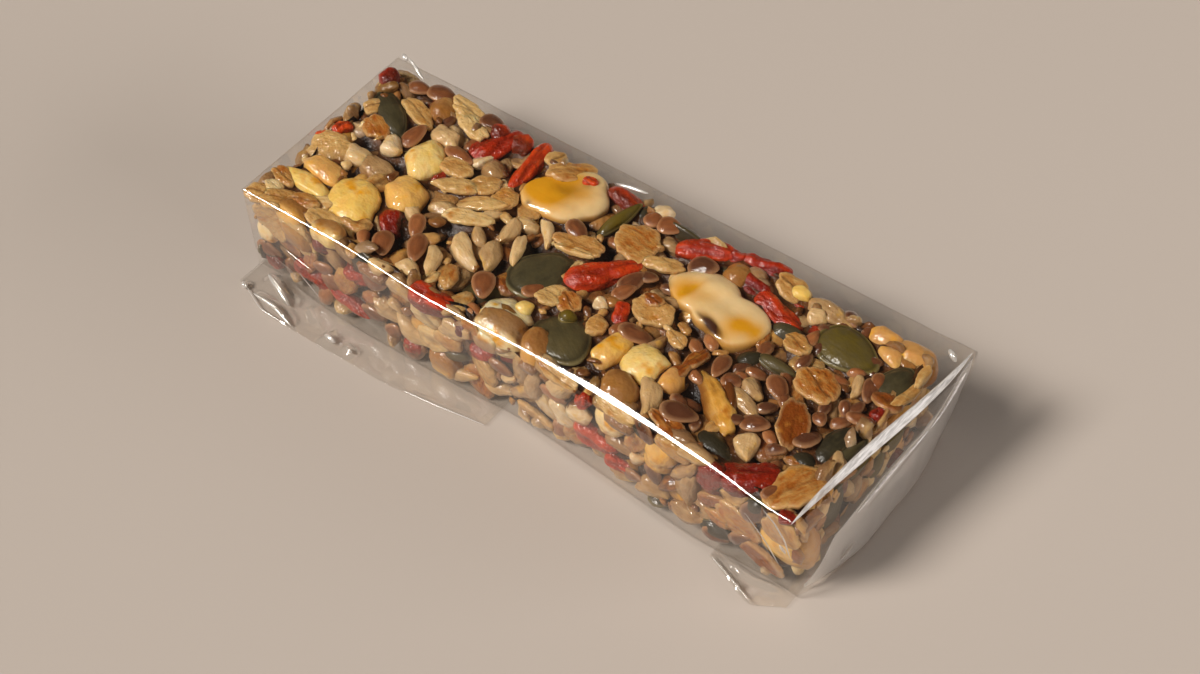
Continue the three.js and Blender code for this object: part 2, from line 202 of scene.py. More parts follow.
@dataclass
class Shape:
    """A mesh in the making: points in mm, faces with four and three corners, and values for each point."""

    points: Array
    quads: Array
    triangles: Array = field(default_factory=lambda: np.zeros((0, 3), int))
    values: dict[str, Array] = field(default_factory=dict)

    @staticmethod
    def joined(shapes: list["Shape"]) -> "Shape":
        """All shapes as one, each one's faces counted on from the points before it.

        Args:
            shapes: shapes that carry the same values.

        Returns:
            One shape with all their points and faces.
        """
        starts = np.cumsum([0] + [len(shape.points) for shape in shapes[:-1]])
        names = shapes[0].values
        return Shape(
            np.concatenate([shape.points for shape in shapes]),
            np.concatenate([shape.quads + start for shape, start in zip(shapes, starts)]),
            np.concatenate([shape.triangles + start for shape, start in zip(shapes, starts)]),
            {name: np.concatenate([shape.values[name] for shape in shapes]) for name in names},
        )

    def normals(self) -> Array:
        """Unit normals of the points: the sum of the crossed diagonals of the four-sided faces there.

        Returns:
            (points, 3) unit vectors.
        """
        corners = self.points[self.quads]
        crossed = np.cross(corners[:, 2] - corners[:, 0], corners[:, 3] - corners[:, 1])
        total = np.zeros_like(self.points)
        for corner in range(4):
            np.add.at(total, self.quads[:, corner], crossed)
        return total / np.maximum(np.linalg.norm(total, axis=1, keepdims=True), 1e-12)

    def make(self, name: str, material: bpy.types.Material, middle: Vector,
             mirrored: bool = True) -> bpy.types.Object:
        """Puts the shape into the scene as a smooth piece of the object.

        Args:
            name: the piece's name.
            material: its finish.
            middle: where the bar's own middle lies in the frame, in metres.
            mirrored: whether glossy surfaces mirror the piece.

        Returns:
            The new object, which stands for the wrapped bar.
        """
        mesh = bpy.data.meshes.new(name)
        places = self.points * MILLIMETRE + np.array(middle)
        corners = np.concatenate([self.quads.ravel(), self.triangles.ravel()])
        sizes = np.repeat([4, 3], [len(self.quads), len(self.triangles)])
        mesh.vertices.add(len(places))
        mesh.vertices.foreach_set("co", places.ravel().astype(np.float32))
        mesh.loops.add(len(corners))
        mesh.loops.foreach_set("vertex_index", corners.astype(np.int32))
        mesh.polygons.add(len(sizes))
        mesh.polygons.foreach_set("loop_start", (np.cumsum(sizes) - sizes).astype(np.int32))
        mesh.polygons.foreach_set("use_smooth", np.ones(len(sizes), bool))
        for key, value in self.values.items():
            kind, slot = ("FLOAT_VECTOR", "vector") if value.ndim == 2 else ("FLOAT", "value")
            attribute = mesh.attributes.new(key, kind, "POINT")
            attribute.data.foreach_set(slot, value.ravel().astype(np.float32))
        mesh.update(calc_edges=True)
        mesh.validate()
        mesh.materials.append(material)
        piece = bpy.data.objects.new(name, mesh)
        piece.visible_glossy = mirrored
        bpy.context.scene.collection.objects.link(piece)
        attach(piece, "root")
        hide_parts(NODE)
        log.info("%s: %d points, %d faces", name, len(places), len(sizes))
        return piece


@dataclass(frozen=True)
class Ball:
    """A closed ball of rings between two poles, each ring with the same number of spokes."""

    rings: int
    spokes: int
    flat: bool = False

    def points(self) -> Array:
        """Points of the unit ball: first pole, rings, last pole. A flat ball's poles lie on Z, else on X.

        Along the pole axis a point lies at the cosine of its ring's angle, and across it at the sine
        times the cosine and sine of its spoke's angle.

        Returns:
            (points, 3) places.
        """
        ring = np.pi * np.arange(1, self.rings + 1) / (self.rings + 1)
        spoke = 2 * np.pi * np.arange(self.spokes) / self.spokes
        polar = np.concatenate([[0], np.repeat(ring, self.spokes), [np.pi]])
        turn = np.concatenate([[0], np.tile(spoke, self.rings), [0]])
        axial, first, second = np.cos(polar), np.sin(polar) * np.cos(turn), np.sin(polar) * np.sin(turn)
        return np.stack((first, second, axial) if self.flat else (axial, first, second), axis=1)

    def shape(self, points: Array) -> Shape:
        """The faces of as many balls as there are rows of points.

        Args:
            points: (pieces, points of a ball, 3) places.

        Returns:
            One shape with every ball in it.
        """
        rows = 1 + np.arange(self.rings)[:, None] * self.spokes + np.arange(self.spokes)
        onward = np.roll(rows, -1, axis=1)
        quads = np.stack((rows[:-1], rows[1:], onward[1:], onward[:-1]), axis=2).reshape(-1, 4)
        last = self.rings * self.spokes + 1
        caps = np.concatenate([
            np.stack((np.zeros(self.spokes, int), rows[0], onward[0]), axis=1),
            np.stack((rows[-1], np.full(self.spokes, last), onward[-1]), axis=1),
        ])
        starts = np.arange(points.shape[0])[:, None, None] * points.shape[1]
        return Shape(
            points.reshape(-1, 3),
            (quads + starts).reshape(-1, 4),
            (caps + starts).reshape(-1, 3),
        )


@dataclass(frozen=True)
class Carton:
    """The surface of a box as one closed lattice through given stops along each axis."""

    stops: tuple[Array, Array, Array]

    def shape(self) -> Shape:
        """Numbers the lattice's outer points, and lays a face on each of its outer squares.

        Returns:
            The closed surface.
        """
        counts = [len(stops) for stops in self.stops]
        places = np.indices(counts).reshape(3, -1)
        outer = np.any([(places[a] == 0) | (places[a] == counts[a] - 1) for a in range(3)], axis=0)
        number = np.full(places.shape[1], -1)
        number[outer] = np.arange(outer.sum())
        number = number.reshape(counts)
        points = np.stack([self.stops[a][places[a][outer]] for a in range(3)], axis=1)
        quads = []
        for axis in range(3):
            for end in (0, -1):
                sheet = np.take(number, end, axis)
                sheet = sheet.T if axis == 1 else sheet
                corners = [sheet[:-1, :-1], sheet[1:, :-1], sheet[1:, 1:], sheet[:-1, 1:]]
                order = corners if end == -1 else corners[::-1]
                quads.append(np.stack(order, axis=2).reshape(-1, 4))
        return Shape(points.astype(float), np.concatenate(quads))


# ---- finishes

class Graph:
    """A material's node tree, built up from short calls."""

    def __init__(self, name: str) -> None:
        """Starts an empty tree with an output.

        Args:
            name: the material's name.
        """
        self.material = bpy.data.materials.new(name)
        self.material.use_nodes = True
        self.tree = self.material.node_tree
        self.tree.nodes.clear()
        self.output = self.tree.nodes.new("ShaderNodeOutputMaterial")

    def node(self, kind: str, inputs: dict | None = None, **settings: object) -> bpy.types.Node:
        """Adds a node.

        Args:
            kind: the node's type, without its usual beginning.
            inputs: values or sockets for its inputs, by name or number.
            settings: the node's own settings.

        Returns:
            The node.
        """
        node = self.tree.nodes.new("ShaderNode" + kind)
        for key, value in settings.items():
            setattr(node, key, value)
        for key, value in (inputs or {}).items():
            if isinstance(value, Socket):
                self.tree.links.new(value, node.inputs[key])
            else:
                node.inputs[key].default_value = value
        return node

    def value(self, name: str) -> Socket:
        """The number that each point carries under a name."""
        return self.node("Attribute", attribute_name=name).outputs["Fac"]

    def vector(self, name: str) -> Socket:
        """The place that each point carries under a name."""
        return self.node("Attribute", attribute_name=name).outputs["Vector"]

    def noise(self, place: Socket, size: float, detail: float = 3, rough: float = 0.55) -> Socket:
        """Cloudy noise of 0 to 1 with lumps of a size in the units of place."""
        inputs = {"Vector": place, "Scale": 1 / size, "Detail": detail, "Roughness": rough}
        return self.node("TexNoise", inputs).outputs["Fac"]

    def math(self, operation: str, *values: Socket | float) -> Socket:
        """A sum, product or other operation on numbers."""
        return self.node("Math", dict(enumerate(values)), operation=operation).outputs[0]

    def stretched(self, place: Socket, scale: Place) -> Socket:
        """A place with its axes scaled, so that what is drawn on it comes out stretched."""
        return self.node("VectorMath", {0: place, 1: scale}, operation="MULTIPLY").outputs[0]

    def spread(self, value: Socket, low: float, high: float, first: float = 0, second: float = 1) -> Socket:
        """Carries low to high onto first to second, smoothly and clamped."""
        inputs = {0: value, 1: low, 2: high, 3: first, 4: second}
        return self.node("MapRange", inputs, interpolation_type="SMOOTHSTEP").outputs[0]

    def blend(self, share: Socket | float, first: Socket | Colour, second: Socket | Colour) -> Socket:
        """Goes from the first colour to the second as share goes from 0 to 1.

        Args:
            share: from 0 to 1.
            first: a colour or socket.
            second: a colour or socket.

        Returns:
            The blended colour.
        """
        ends = [c if isinstance(c, Socket) else (*c, 1) for c in (first, second)]
        node = self.node("Mix", {0: share, 6: ends[0], 7: ends[1]}, data_type="RGBA")
        return node.outputs[2]

    def ramp(self, share: Socket, stops: list[tuple[float, Colour]]) -> Socket:
        """A colour read off a ramp with stops of place and colour.

        Args:
            share: where the ramp is read.
            stops: places of 0 to 1 with their colours.

        Returns:
            The colour there.
        """
        node = self.node("ValToRGB", {0: share})
        elements = node.color_ramp.elements
        while len(elements) < len(stops):
            elements.new(0.5)
        for element, (place, colour) in zip(elements, stops):
            element.position = place
            element.color = (*colour, 1)
        return node.outputs["Color"]

    def bump(self, height: Socket, depth: float, under: Socket | None = None) -> Socket:
        """Raises the surface by up to depth mm where height is 1, over another bump if there is one.

        Args:
            height: the relief, of 0 to 1.
            depth: its depth in mm.
            under: the other bump, if any.

        Returns:
            The bumped normal.
        """
        inputs = {"Height": height, "Strength": 1, "Distance": depth * MILLIMETRE}
        if under is not None:
            inputs["Normal"] = under
        return self.node("Bump", inputs).outputs["Normal"]

    def finish(self, shader: bpy.types.Node) -> bpy.types.Material:
        """Ends the tree with a shader."""
        self.tree.links.new(shader.outputs[0], self.output.inputs["Surface"])
        return self.material


@dataclass(frozen=True)
class Skin:
    """The syrupy skin of one kind of piece.

    A ramp gives its colour by the piece's own tone, moved about by mottling and by streaks that run
    along the piece. Patches, stains, a rim, lines and soaked feet are laid over it. The nuts' rim
    paints shade on their lower flanks, and the goji berries' lines paint shade in the valleys of their
    folds. The soaked colour is the syrup's, and on the upright sides it is painted shade as well.
    Lumps and streaks shape the flesh, and finer bumps break up the gloss of the syrup on it. Colours
    are screen values of 0 to 255, and each of the shades is a place on the ramp and its colour.
    """

    name: str
    shades: Rows
    mottle: float = 0.25
    mottle_size: float = 1.6
    streak: float = 0
    streak_size: float = 0.6
    streak_depth: float = 0
    stretch: float = 0.3
    patch: Colour = (0, 0, 0)
    patch_share: float = 0
    patch_size: float = 3
    rim: Colour = (0, 0, 0)
    rim_share: float = 0
    line: Colour = (78, 44, 18)
    line_share: float = 0
    stain: Colour = (214, 150, 40)
    stain_share: float = 0
    # the syrup colour that pieces take below the syrup level, and painted shade on the upright sides
    soaked_and_shaded: Colour = (64, 40, 22)
    soak_share: float = 0.8
    rough: float = 0.4
    coat: float = 0.9
    coat_rough: float = 0.06
    depth: float = 0
    bleed: Colour = (1, 0.75, 0.5)
    fine: float = 0.1
    fine_size: float = 0.5
    coarse: float = 0.2
    coarse_size: float = 1.4

    def material(self) -> bpy.types.Material:
        """Builds the finish.

        Returns:
            The material.
        """
        graph = Graph(self.name)
        place = graph.vector("grain")
        cloud = graph.noise(place, self.mottle_size, 2, 0.5)
        sway = graph.math("MULTIPLY_ADD", cloud, 2 * self.mottle, -self.mottle)
        shade = graph.math("ADD", graph.value("tone"), sway)
        lumps = graph.bump(graph.noise(place, self.coarse_size, 2), self.coarse)
        if self.streak_depth:
            drawn = graph.stretched(place, (self.stretch, 1, 1))
            streaks = graph.noise(drawn, self.streak_size, 3, 0.5)
            sway = graph.math("MULTIPLY_ADD", streaks, 2 * self.streak, -self.streak)
            shade = graph.math("ADD", shade, sway)
            lumps = graph.bump(streaks, self.streak_depth, lumps)
        colour = graph.ramp(shade, [(stop, tint(*screen)) for stop, *screen in self.shades])
        if self.patch_share:
            spots = graph.noise(place, self.patch_size, 2, 0.5)
            # The more of the skin is patched, the lower is the noise at which a patch starts.
            edge = 0.72 - 0.34 * self.patch_share
            colour = graph.blend(graph.spread(spots, edge, edge + 0.2), colour, tint(*self.patch))
        laid = ((self.stain_share, self.stain), (self.rim_share, self.rim), (self.line_share, self.line))
        for mark, (share, over) in zip(("stain", "rim", "line"), laid):
            if share:
                colour = graph.blend(graph.math("MULTIPLY", graph.value(mark), share), colour, tint(*over))
        # Darkens towards the soaked colour: syrup below its level, and painted shade on the upright sides.
        soak_and_shade = graph.math("MULTIPLY", graph.value("soak_and_shade"), self.soak_share)
        colour = graph.blend(soak_and_shade, colour, tint(*self.soaked_and_shaded))
        inputs = {
            "Base Color": colour,
            "Roughness": self.rough,
            "Specular IOR Level": FLESH_GLOSS,
            "Coat Weight": self.coat,
            "Coat Roughness": self.coat_rough,
            "Normal": lumps,
            "Coat Normal": graph.bump(graph.noise(place, self.fine_size, 2), self.fine, lumps),
        }
        if self.depth:
            inputs |= {
                "Subsurface Weight": 0.5,
                "Subsurface Radius": self.bleed,
                "Subsurface Scale": self.depth * MILLIMETRE,
            }
        return graph.finish(graph.node("BsdfPrincipled", inputs))


@dataclass(frozen=True)
class SyrupFinish:
    """Dark boiled syrup: amber where it lies thin, near black in the hollows, and glassy."""

    name: str = "syrup"
    thin: Colour = tint(112, 69, 33)
    thick: Colour = tint(64, 38, 21)
    # near black of the hollows between pieces: thicker syrup and painted shade
    deep: Colour = tint(24, 15, 10)
    cloud_size: float = 2.6
    lump_size: float = 0.35
    thin_range: Pair = (0.42, 0.72)
    hollow_shade_range: Pair = (0.3, 1)
    rough: float = 0.4
    coat: float = 0.35
    coat_rough: float = 0.1
    lump: float = 0.08
    coat_lump: float = 0.26

    def material(self) -> bpy.types.Material:
        """Builds the finish on object coordinates, in metres.

        Returns:
            The material.
        """
        graph = Graph(self.name)
        place = graph.node("TexCoord").outputs["Object"]
        cloud = graph.noise(place, self.cloud_size * MILLIMETRE, 4, 0.6)
        lumps = graph.noise(place, self.lump_size * MILLIMETRE, 1)
        colour = graph.blend(graph.spread(cloud, *self.thin_range), self.thick, self.thin)
        # Darkens towards near black in the hollows: thicker syrup and painted shade.
        colour = graph.blend(graph.spread(graph.value("hollow_shade"), *self.hollow_shade_range), colour, self.deep)
        return graph.finish(graph.node("BsdfPrincipled", {
            "Base Color": colour,
            "Roughness": self.rough,
            "Specular IOR Level": FLESH_GLOSS,
            "Coat Weight": self.coat,
            "Coat Roughness": self.coat_rough,
            "Normal": graph.bump(lumps, self.lump),
            "Coat Normal": graph.bump(lumps, self.coat_lump),
        }))


@dataclass(frozen=True)
class FilmFinish:
    """Clear film: it mirrors more the more it is seen aslant, and lets all other light through.

    The share mirrored is straight + (1 - straight) times a power of the slant. Of the rest, haze is
    the share that the film scatters, less in streaks that run across the bar.
    """

    name: str = "clear_film"
    straight: float = 0.08
    slant_power: float = 3.5
    rough: float = 0.09
    tone: Colour = (0.985, 0.98, 0.97)
    haze: float = 0
    cloud: Colour = (0.75, 0.71, 0.66)
    streaks: float = 0
    streak_size: float = 0.3
    streak_squeeze: float = 0.12
    streak_range: Pair = (0.35, 0.62)
    crinkle: float = 0.012
    crinkle_size: float = 1.4

    def material(self) -> bpy.types.Material:
        """Builds the finish.

        Returns:
            The material.
        """
        graph = Graph(self.name)
        place = graph.node("TexCoord").outputs["Object"]
        normal = graph.bump(graph.noise(place, self.crinkle_size * MILLIMETRE, 2), self.crinkle)
        slant = graph.node("LayerWeight", {"Blend": 0.5}).outputs["Facing"]
        rise = graph.math("POWER", slant, self.slant_power)
        share = graph.math("MULTIPLY_ADD", rise, 1 - self.straight, self.straight)
        clear = graph.node("BsdfTransparent", {"Color": (*self.tone, 1)})
        if self.haze:
            cloudy = graph.node("BsdfDiffuse", {"Color": (*self.cloud, 1)})
            haze = self.haze
            if self.streaks:
                drawn = graph.stretched(place, (1, self.streak_squeeze, 1))
                bands = graph.noise(drawn, self.streak_size * MILLIMETRE, 2)
                haze = graph.spread(bands, *self.streak_range, haze * (1 - self.streaks), haze)
            clear = graph.node("MixShader", {0: haze, 1: clear.outputs[0], 2: cloudy.outputs[0]})
        gloss = graph.node("BsdfGlossy", {
            "Color": (1, 1, 1, 1), "Roughness": self.rough, "Normal": normal,
        })
        return graph.finish(graph.node("MixShader", {0: share, 1: clear.outputs[0], 2: gloss.outputs[0]}))


# ---- the film's form

def round_edge(first: Array, second: Array, radius: Value, clearance: float) -> tuple[Array, Array]:
    """Draws two insets in to the rounding of the edge between their faces.

    Within radius of the edge, a point further than radius less clearance from the rounding's middle
    line is pulled back to that distance.

    Args:
        first: how far points lie inside one face.
        second: how far they lie inside the other.
        radius: the edge's rounding.
        clearance: how far inside the faces points have to stay.

    Returns:
        The two insets.
    """
    reach = np.maximum(radius - first, 0), np.maximum(radius - second, 0)
    distance = np.hypot(*reach)
    limit = radius - clearance
    pull = np.where(distance > limit, limit / np.maximum(distance, 1e-9), 1)
    drawn = [np.where(part > 0, radius - part * pull, inset) for part, inset in zip(reach, (first, second))]
    return drawn[0], drawn[1]


@dataclass(frozen=True)
class Wrapper:
    """The form that the film holds: a box with rounded edges, bent at its sides and its loose end."""

    left: float = -51
    right: float = 54
    near: float = -18.2
    far: float = 19.35
    height: float = 17.6
    corner: float = 1.2
    loose_from: float = 44
    fold: Pair = (51.3, 55.6)
    foot: float = 55.5
    foot_pinch: float = 3.8
    bulge: float = 1
    far_slope: float = 0.017
    near_top: Line = (
        (-51, -18.5), (-30, -18.1), (-15, -18.9), (0, -18.5), (15, -18.9), (30, -18.9), (38, -19.2),
        (45, -20.2), (54, -20.4),
    )
    near_foot: Line = (
        (-50, -18.1), (-45, -17.7), (-40, -18.9), (-30, -19.4), (-10, -18.9), (2, -18), (20, -19.3),
        (34, -20.4), (49, -19.6), (54, -20),
    )
    # The near edge of the top: its rounding, tight at both ends and widest at edge_middle.
    edge_tight: float = 0.9
    edge_wide: float = 4.6
    edge_middle: float = 16
    edge_spread: float = 15.5
    # The loose end's top fold: its rounding at both corners and at its fullest between them.
    fold_tight: float = 0.9
    fold_full: float = 1.9

    def near_at(self, x: Array, z: Array) -> Array:
        """The near side, between its line at the foot and its line at the top."""
        return mix(through(x, self.near_foot), through(x, self.near_top), np.clip(z / self.height, 0, 1))

    def far_at(self, x: Array) -> Array:
        """The far side, which leans outwards along the bar."""
        return self.far + self.far_slope * x

    def end_at(self, y: Array, z: Array) -> Array:
        """The loose end: from its fold down to its foot, swelling in between.

        Args:
            y: places across the bar.
            z: heights.

        Returns:
            Where the end stands along the bar.
        """
        fold = mix(*self.fold, smooth((y - self.near) / (self.far - self.near)))
        foot = self.foot - self.foot_pinch * np.abs(y / self.far) ** 3
        rise = np.clip(z / self.height, 0, 1)
        return mix(foot, fold, rise) + self.bulge * 4 * rise * (1 - rise)

    def on_near(self, line: Line) -> tuple[Place, ...]:
        """Lays a line of places along the bar and up onto the near side."""
        x, z = np.array(line).T
        return tuple(zip(x, self.near_at(x, z), z))

    def on_end(self, line: Line) -> tuple[Place, ...]:
        """Lays a line of places across the bar and up onto the loose end."""
        y, z = np.array(line).T
        return tuple(zip(self.end_at(y, z), y, z))

    def edge_radius(self, x: Array) -> Array:
        """The rounding of the top's near edge along the bar."""
        return mix(self.edge_tight, self.edge_wide, hill(x, self.edge_middle, self.edge_spread))

    def fold_radius(self, y: Array) -> Array:
        """The rounding of the loose end's top fold across the bar."""
        share = np.clip((y - self.near) / (self.far - self.near), 0, 1)
        return mix(self.fold_tight, self.fold_full, np.sqrt(4 * share * (1 - share)))

    def bend(self, points: Array) -> Array:
        """Carries the straight box's points onto the bent form.

        Args:
            points: places on or in the straight box.

        Returns:
            The same places on the bent form.
        """
        x, y, z = points.T
        loose = smooth((x - self.loose_from) / (self.right - self.loose_from))
        x = x + loose * (self.end_at(y, z) - self.right)
        y = np.where(y < 0, y * self.near_at(x, z) / self.near, y * self.far_at(x) / self.far)
        return np.stack((x, y, z), axis=1)

    def straighten(self, points: Array) -> Array:
        """Undoes bend, its loose end by a few steps of approach.

        Args:
            points: places on or in the bent form.

        Returns:
            The same places in the straight box.
        """
        x, y, z = points.T
        y = np.where(y < 0, y * self.near / self.near_at(x, z), y * self.far / self.far_at(x))
        straight = x
        for _ in range(4):
            loose = smooth((straight - self.loose_from) / (self.right - self.loose_from))
            straight = x - loose * (self.end_at(y, z) - self.right)
        return np.stack((straight, y, z), axis=1)

    def rounded(self, points: Array, clearance: float = 0) -> Array:
        """Draws the straight box's points in to its rounded edges, at least clearance inside its faces.

        Args:
            points: places on or in the straight box.
            clearance: how far inside its faces they have to stay.

        Returns:
            The places, drawn in.
        """
        low = np.array((self.left, self.near, 0))
        high = np.array((self.right, self.far, self.height))
        offset = points - (low + high) / 2
        half = (high - low) / 2
        inset = half - np.abs(offset)
        near_top = (offset[:, 1] < 0) & (offset[:, 2] > 0)
        loose_top = (offset[:, 0] > 0) & (offset[:, 2] > 0)
        ridge = np.where(near_top, self.edge_radius(points[:, 0]), self.corner)
        fold = np.where(loose_top, self.fold_radius(points[:, 1]), self.corner)
        for first, second, radius in ((1, 2, ridge), (0, 2, fold), (0, 1, self.corner)):
            drawn = round_edge(inset[:, first], inset[:, second], radius, clearance)
            inset[:, first], inset[:, second] = drawn
        return (low + high) / 2 + np.where(offset < 0, -1, 1) * (half - inset)

    def contain(self, points: Array, clearance: float) -> Array:
        """Presses points back inside the film, clearance away from it."""
        return self.bend(self.rounded(self.straighten(points), clearance))


class Side(Enum):
    """The faces of the bar: the directions of a plan's two axes, and the direction out of the face."""

    TOP = ((1, 0, 0), (0, 1, 0), (0, 0, 1))
    NEAR = ((1, 0, 0), (0, 0, 1), (0, -1, 0))
    FAR = ((-1, 0, 0), (0, 0, 1), (0, 1, 0))
    LEFT = ((0, -1, 0), (0, 0, 1), (-1, 0, 0))
    RIGHT = ((0, 1, 0), (0, 0, 1), (1, 0, 0))
    FOOT = ((1, 0, 0), (0, -1, 0), (0, 0, -1))

    @property
    def axes(self) -> Array:
        """Rows: along the plan, across it, and out of the face."""
        return np.array(self.value, float)

    @property
    def normal_axis(self) -> int:
        """Which of X, Y and Z stands out of the face."""
        return int(np.abs(self.axes[2]).argmax())


@dataclass(frozen=True)
class Batch:
    """Pieces of one kind on one side of the bar.

    Each row is a place along and across the side, in the bar's own axes, then length, width, heading
    in degrees, how far the crown stands out of the side, and tone from 0 to 1.
    """

    side: Side
    rows: Array
    fine: bool = True


@dataclass(frozen=True)
class Bar:
    """The bar inside the film: the planes that its pieces lie in."""

    wrapper: Wrapper
    left: float = -50.8
    right: float = 51
    far: float = 16.7
    top: float = 16.6
    foot: float = 0.7
    behind_near: float = 0.5
    clearance: float = 0.15
    tilt: float = 0.1
    level_from: float = 6
    soak_from: float = -0.5
    soak_over: float = 1.4
    # painted shade: the least darkening towards the soaked colour on every upright side
    side_soak_and_shade: float = 0.25
    browning: Line = ((-50, 0.02), (-10, -0.06), (14, -0.08), (34, -0.28))

    def on(self, side: Side, along: Array, across: Array) -> Array:
        """The places on a side's plane at two of the bar's own coordinates.

        Args:
            side: the side.
            along: the first of the side's two coordinates.
            across: the second of them.

        Returns:
            The places, in X, Y and Z.
        """
        fixed = {
            Side.TOP: self.top, Side.FOOT: self.foot, Side.FAR: self.far,
            Side.LEFT: self.left, Side.RIGHT: self.right, Side.NEAR: 0,
        }[side]
        plane = np.full(np.shape(along), fixed, float)
        if side is Side.NEAR:
            plane = self.wrapper.near_at(along, across) + self.behind_near
        order = {0: (plane, along, across), 1: (along, plane, across), 2: (along, across, plane)}
        return np.stack(order[side.normal_axis], axis=-1)

    def tone_shift(self, batch: Batch) -> Array:
        """How much each piece's tone changes by where it lies: top and near side are browner to the right.

        Args:
            batch: the pieces.

        Returns:
            What is added to each one's tone.
        """
        if batch.side not in (Side.TOP, Side.NEAR):
            return np.zeros(len(batch.rows))
        return through(batch.rows[:, 0], self.browning)

    def settle(self, local: Array, batch: Batch, draws: Draws) -> tuple[Array, Array]:
        """Lays pieces on a side.

        Each is turned by its heading, leaned a little, less so if it is longer than level_from, lifted
        until its crown stands out as its row says, and pressed back wherever it would come through
        the film.

        Args:
            local: (pieces, points, 3) about each piece's own middle, its crown towards +Z.
            batch: where the pieces lie.
            draws: the source of the leaning.

        Returns:
            The points about the bar's middle, and how far each stands out of the side.
        """
        angle = np.radians(batch.rows[:, 4])
        ease = np.minimum(self.level_from / batch.rows[:, 2], 1)
        lean = draws.normal(0, self.tilt, (2, len(angle))) * ease
        one, zero = np.ones_like(angle), np.zeros_like(angle)
        turn = np.array([
            [np.cos(angle), -np.sin(angle), zero], [np.sin(angle), np.cos(angle), zero], [zero, zero, one],
        ])
        tip = np.array([[one, zero, lean[0]], [zero, one, lean[1]], [-lean[0], -lean[1], one]])
        turned = np.einsum("ijp,jkp,pvk->pvi", turn, tip, local)
        turned[..., 2] += batch.rows[:, None, 5] - turned[..., 2].max(axis=1, keepdims=True)
        places = self.on(batch.side, batch.rows[:, 0], batch.rows[:, 1])
        points = places[:, None, :] + turned @ batch.side.axes
        pressed = self.wrapper.contain(points.reshape(-1, 3), self.clearance)
        return pressed.reshape(points.shape), turned[..., 2]


# ---- the pieces

def squared(x: Array, y: Array, power: Value) -> Array:
    """How far a circle's points move out to lie on the curve |x|^power + |y|^power = 1.

    Args:
        x: places on a ball.
        y: the same places, across.
        power: 2 for a circle, more for a square.

    Returns:
        What x and y are multiplied by.
    """
    reach = np.maximum(np.hypot(x, y), 1e-9)
    total = (np.abs(x) / reach) ** power + (np.abs(y) / reach) ** power
    return np.maximum(total, 0.1) ** (-1 / power)


def blunted(x: Array, power: float) -> Array:
    """How much a ball's girth grows at x so that its outline becomes the root of 1 - |x|^power."""
    inner = np.clip(np.abs(x), 0, 0.999)
    return np.sqrt((1 - inner**power) / (1 - inner**2))


@dataclass
class Pieces:
    """One kind of piece, all of it one joined mesh.

    usual holds the least and greatest length of a strewn piece, and its least and greatest width as
    a share of that. top and near are the rows listed for those sides, as a Batch has them.
    """

    name: str
    skin: Skin
    lattice: Ball
    plain: Ball
    thick: float
    seed: int
    usual: Four
    top: Rows = ()
    near: Rows = ()
    strewn: list[Batch] = field(default_factory=list)

    def form(self, ball: Array, size: Array, draws: Draws) -> Formed:
        """The pieces about their own middles.

        Args:
            ball: (points, 3) of the unit ball.
            size: (pieces, 2) lengths and widths.
            draws: the source of unevenness.

        Returns:
            (pieces, points, 3) places, then each point's share of the marks named in MARKS, in
            shapes that spread to (pieces, points). A mark left out is 0.
        """
        raise NotImplementedError

    def placed(self) -> list[Batch]:
        """The pieces listed one by one."""
        listed = ((Side.TOP, self.top), (Side.NEAR, self.near))
        return [Batch(side, np.array(rows, float)) for side, rows in listed if rows]

    def build(self, bar: Bar) -> Shape:
        """Shapes and lays down every piece of the kind.

        Args:
            bar: the bar that they are laid on.

        Returns:
            All of them as one shape, with tone, soak and painted shade, and marks.
        """
        draws = np.random.default_rng(self.seed)
        shapes = []
        for batch in self.placed() + self.strewn:
            lattice = self.lattice if batch.fine else self.plain
            local, marks = self.form(lattice.points(), batch.rows[:, 2:4], draws)
            points, height = bar.settle(local, batch, draws)
            shape = lattice.shape(points)
            plan = local.shape[:2]
            # On the upright sides every piece is darkened at least this far towards its soaked colour, as
            # painted shade.
            least_soak_and_shade = 0 if batch.side is Side.TOP else bar.side_soak_and_shade
            soak_and_shade = np.maximum(smooth((bar.soak_from - height) / bar.soak_over), least_soak_and_shade)
            tone = batch.rows[:, 6] + bar.tone_shift(batch)
            shape.values = {
                "grain": (local + draws.uniform(-99, 99, (len(local), 1, 3))).reshape(-1, 3),
                "tone": np.broadcast_to(tone[:, None], plan).ravel(),
                "soak_and_shade": soak_and_shade.ravel(),
            }
            for mark in MARKS:
                shape.values[mark] = np.broadcast_to(marks.get(mark, 0), plan).ravel()
            shapes.append(shape)
        return Shape.joined(shapes)


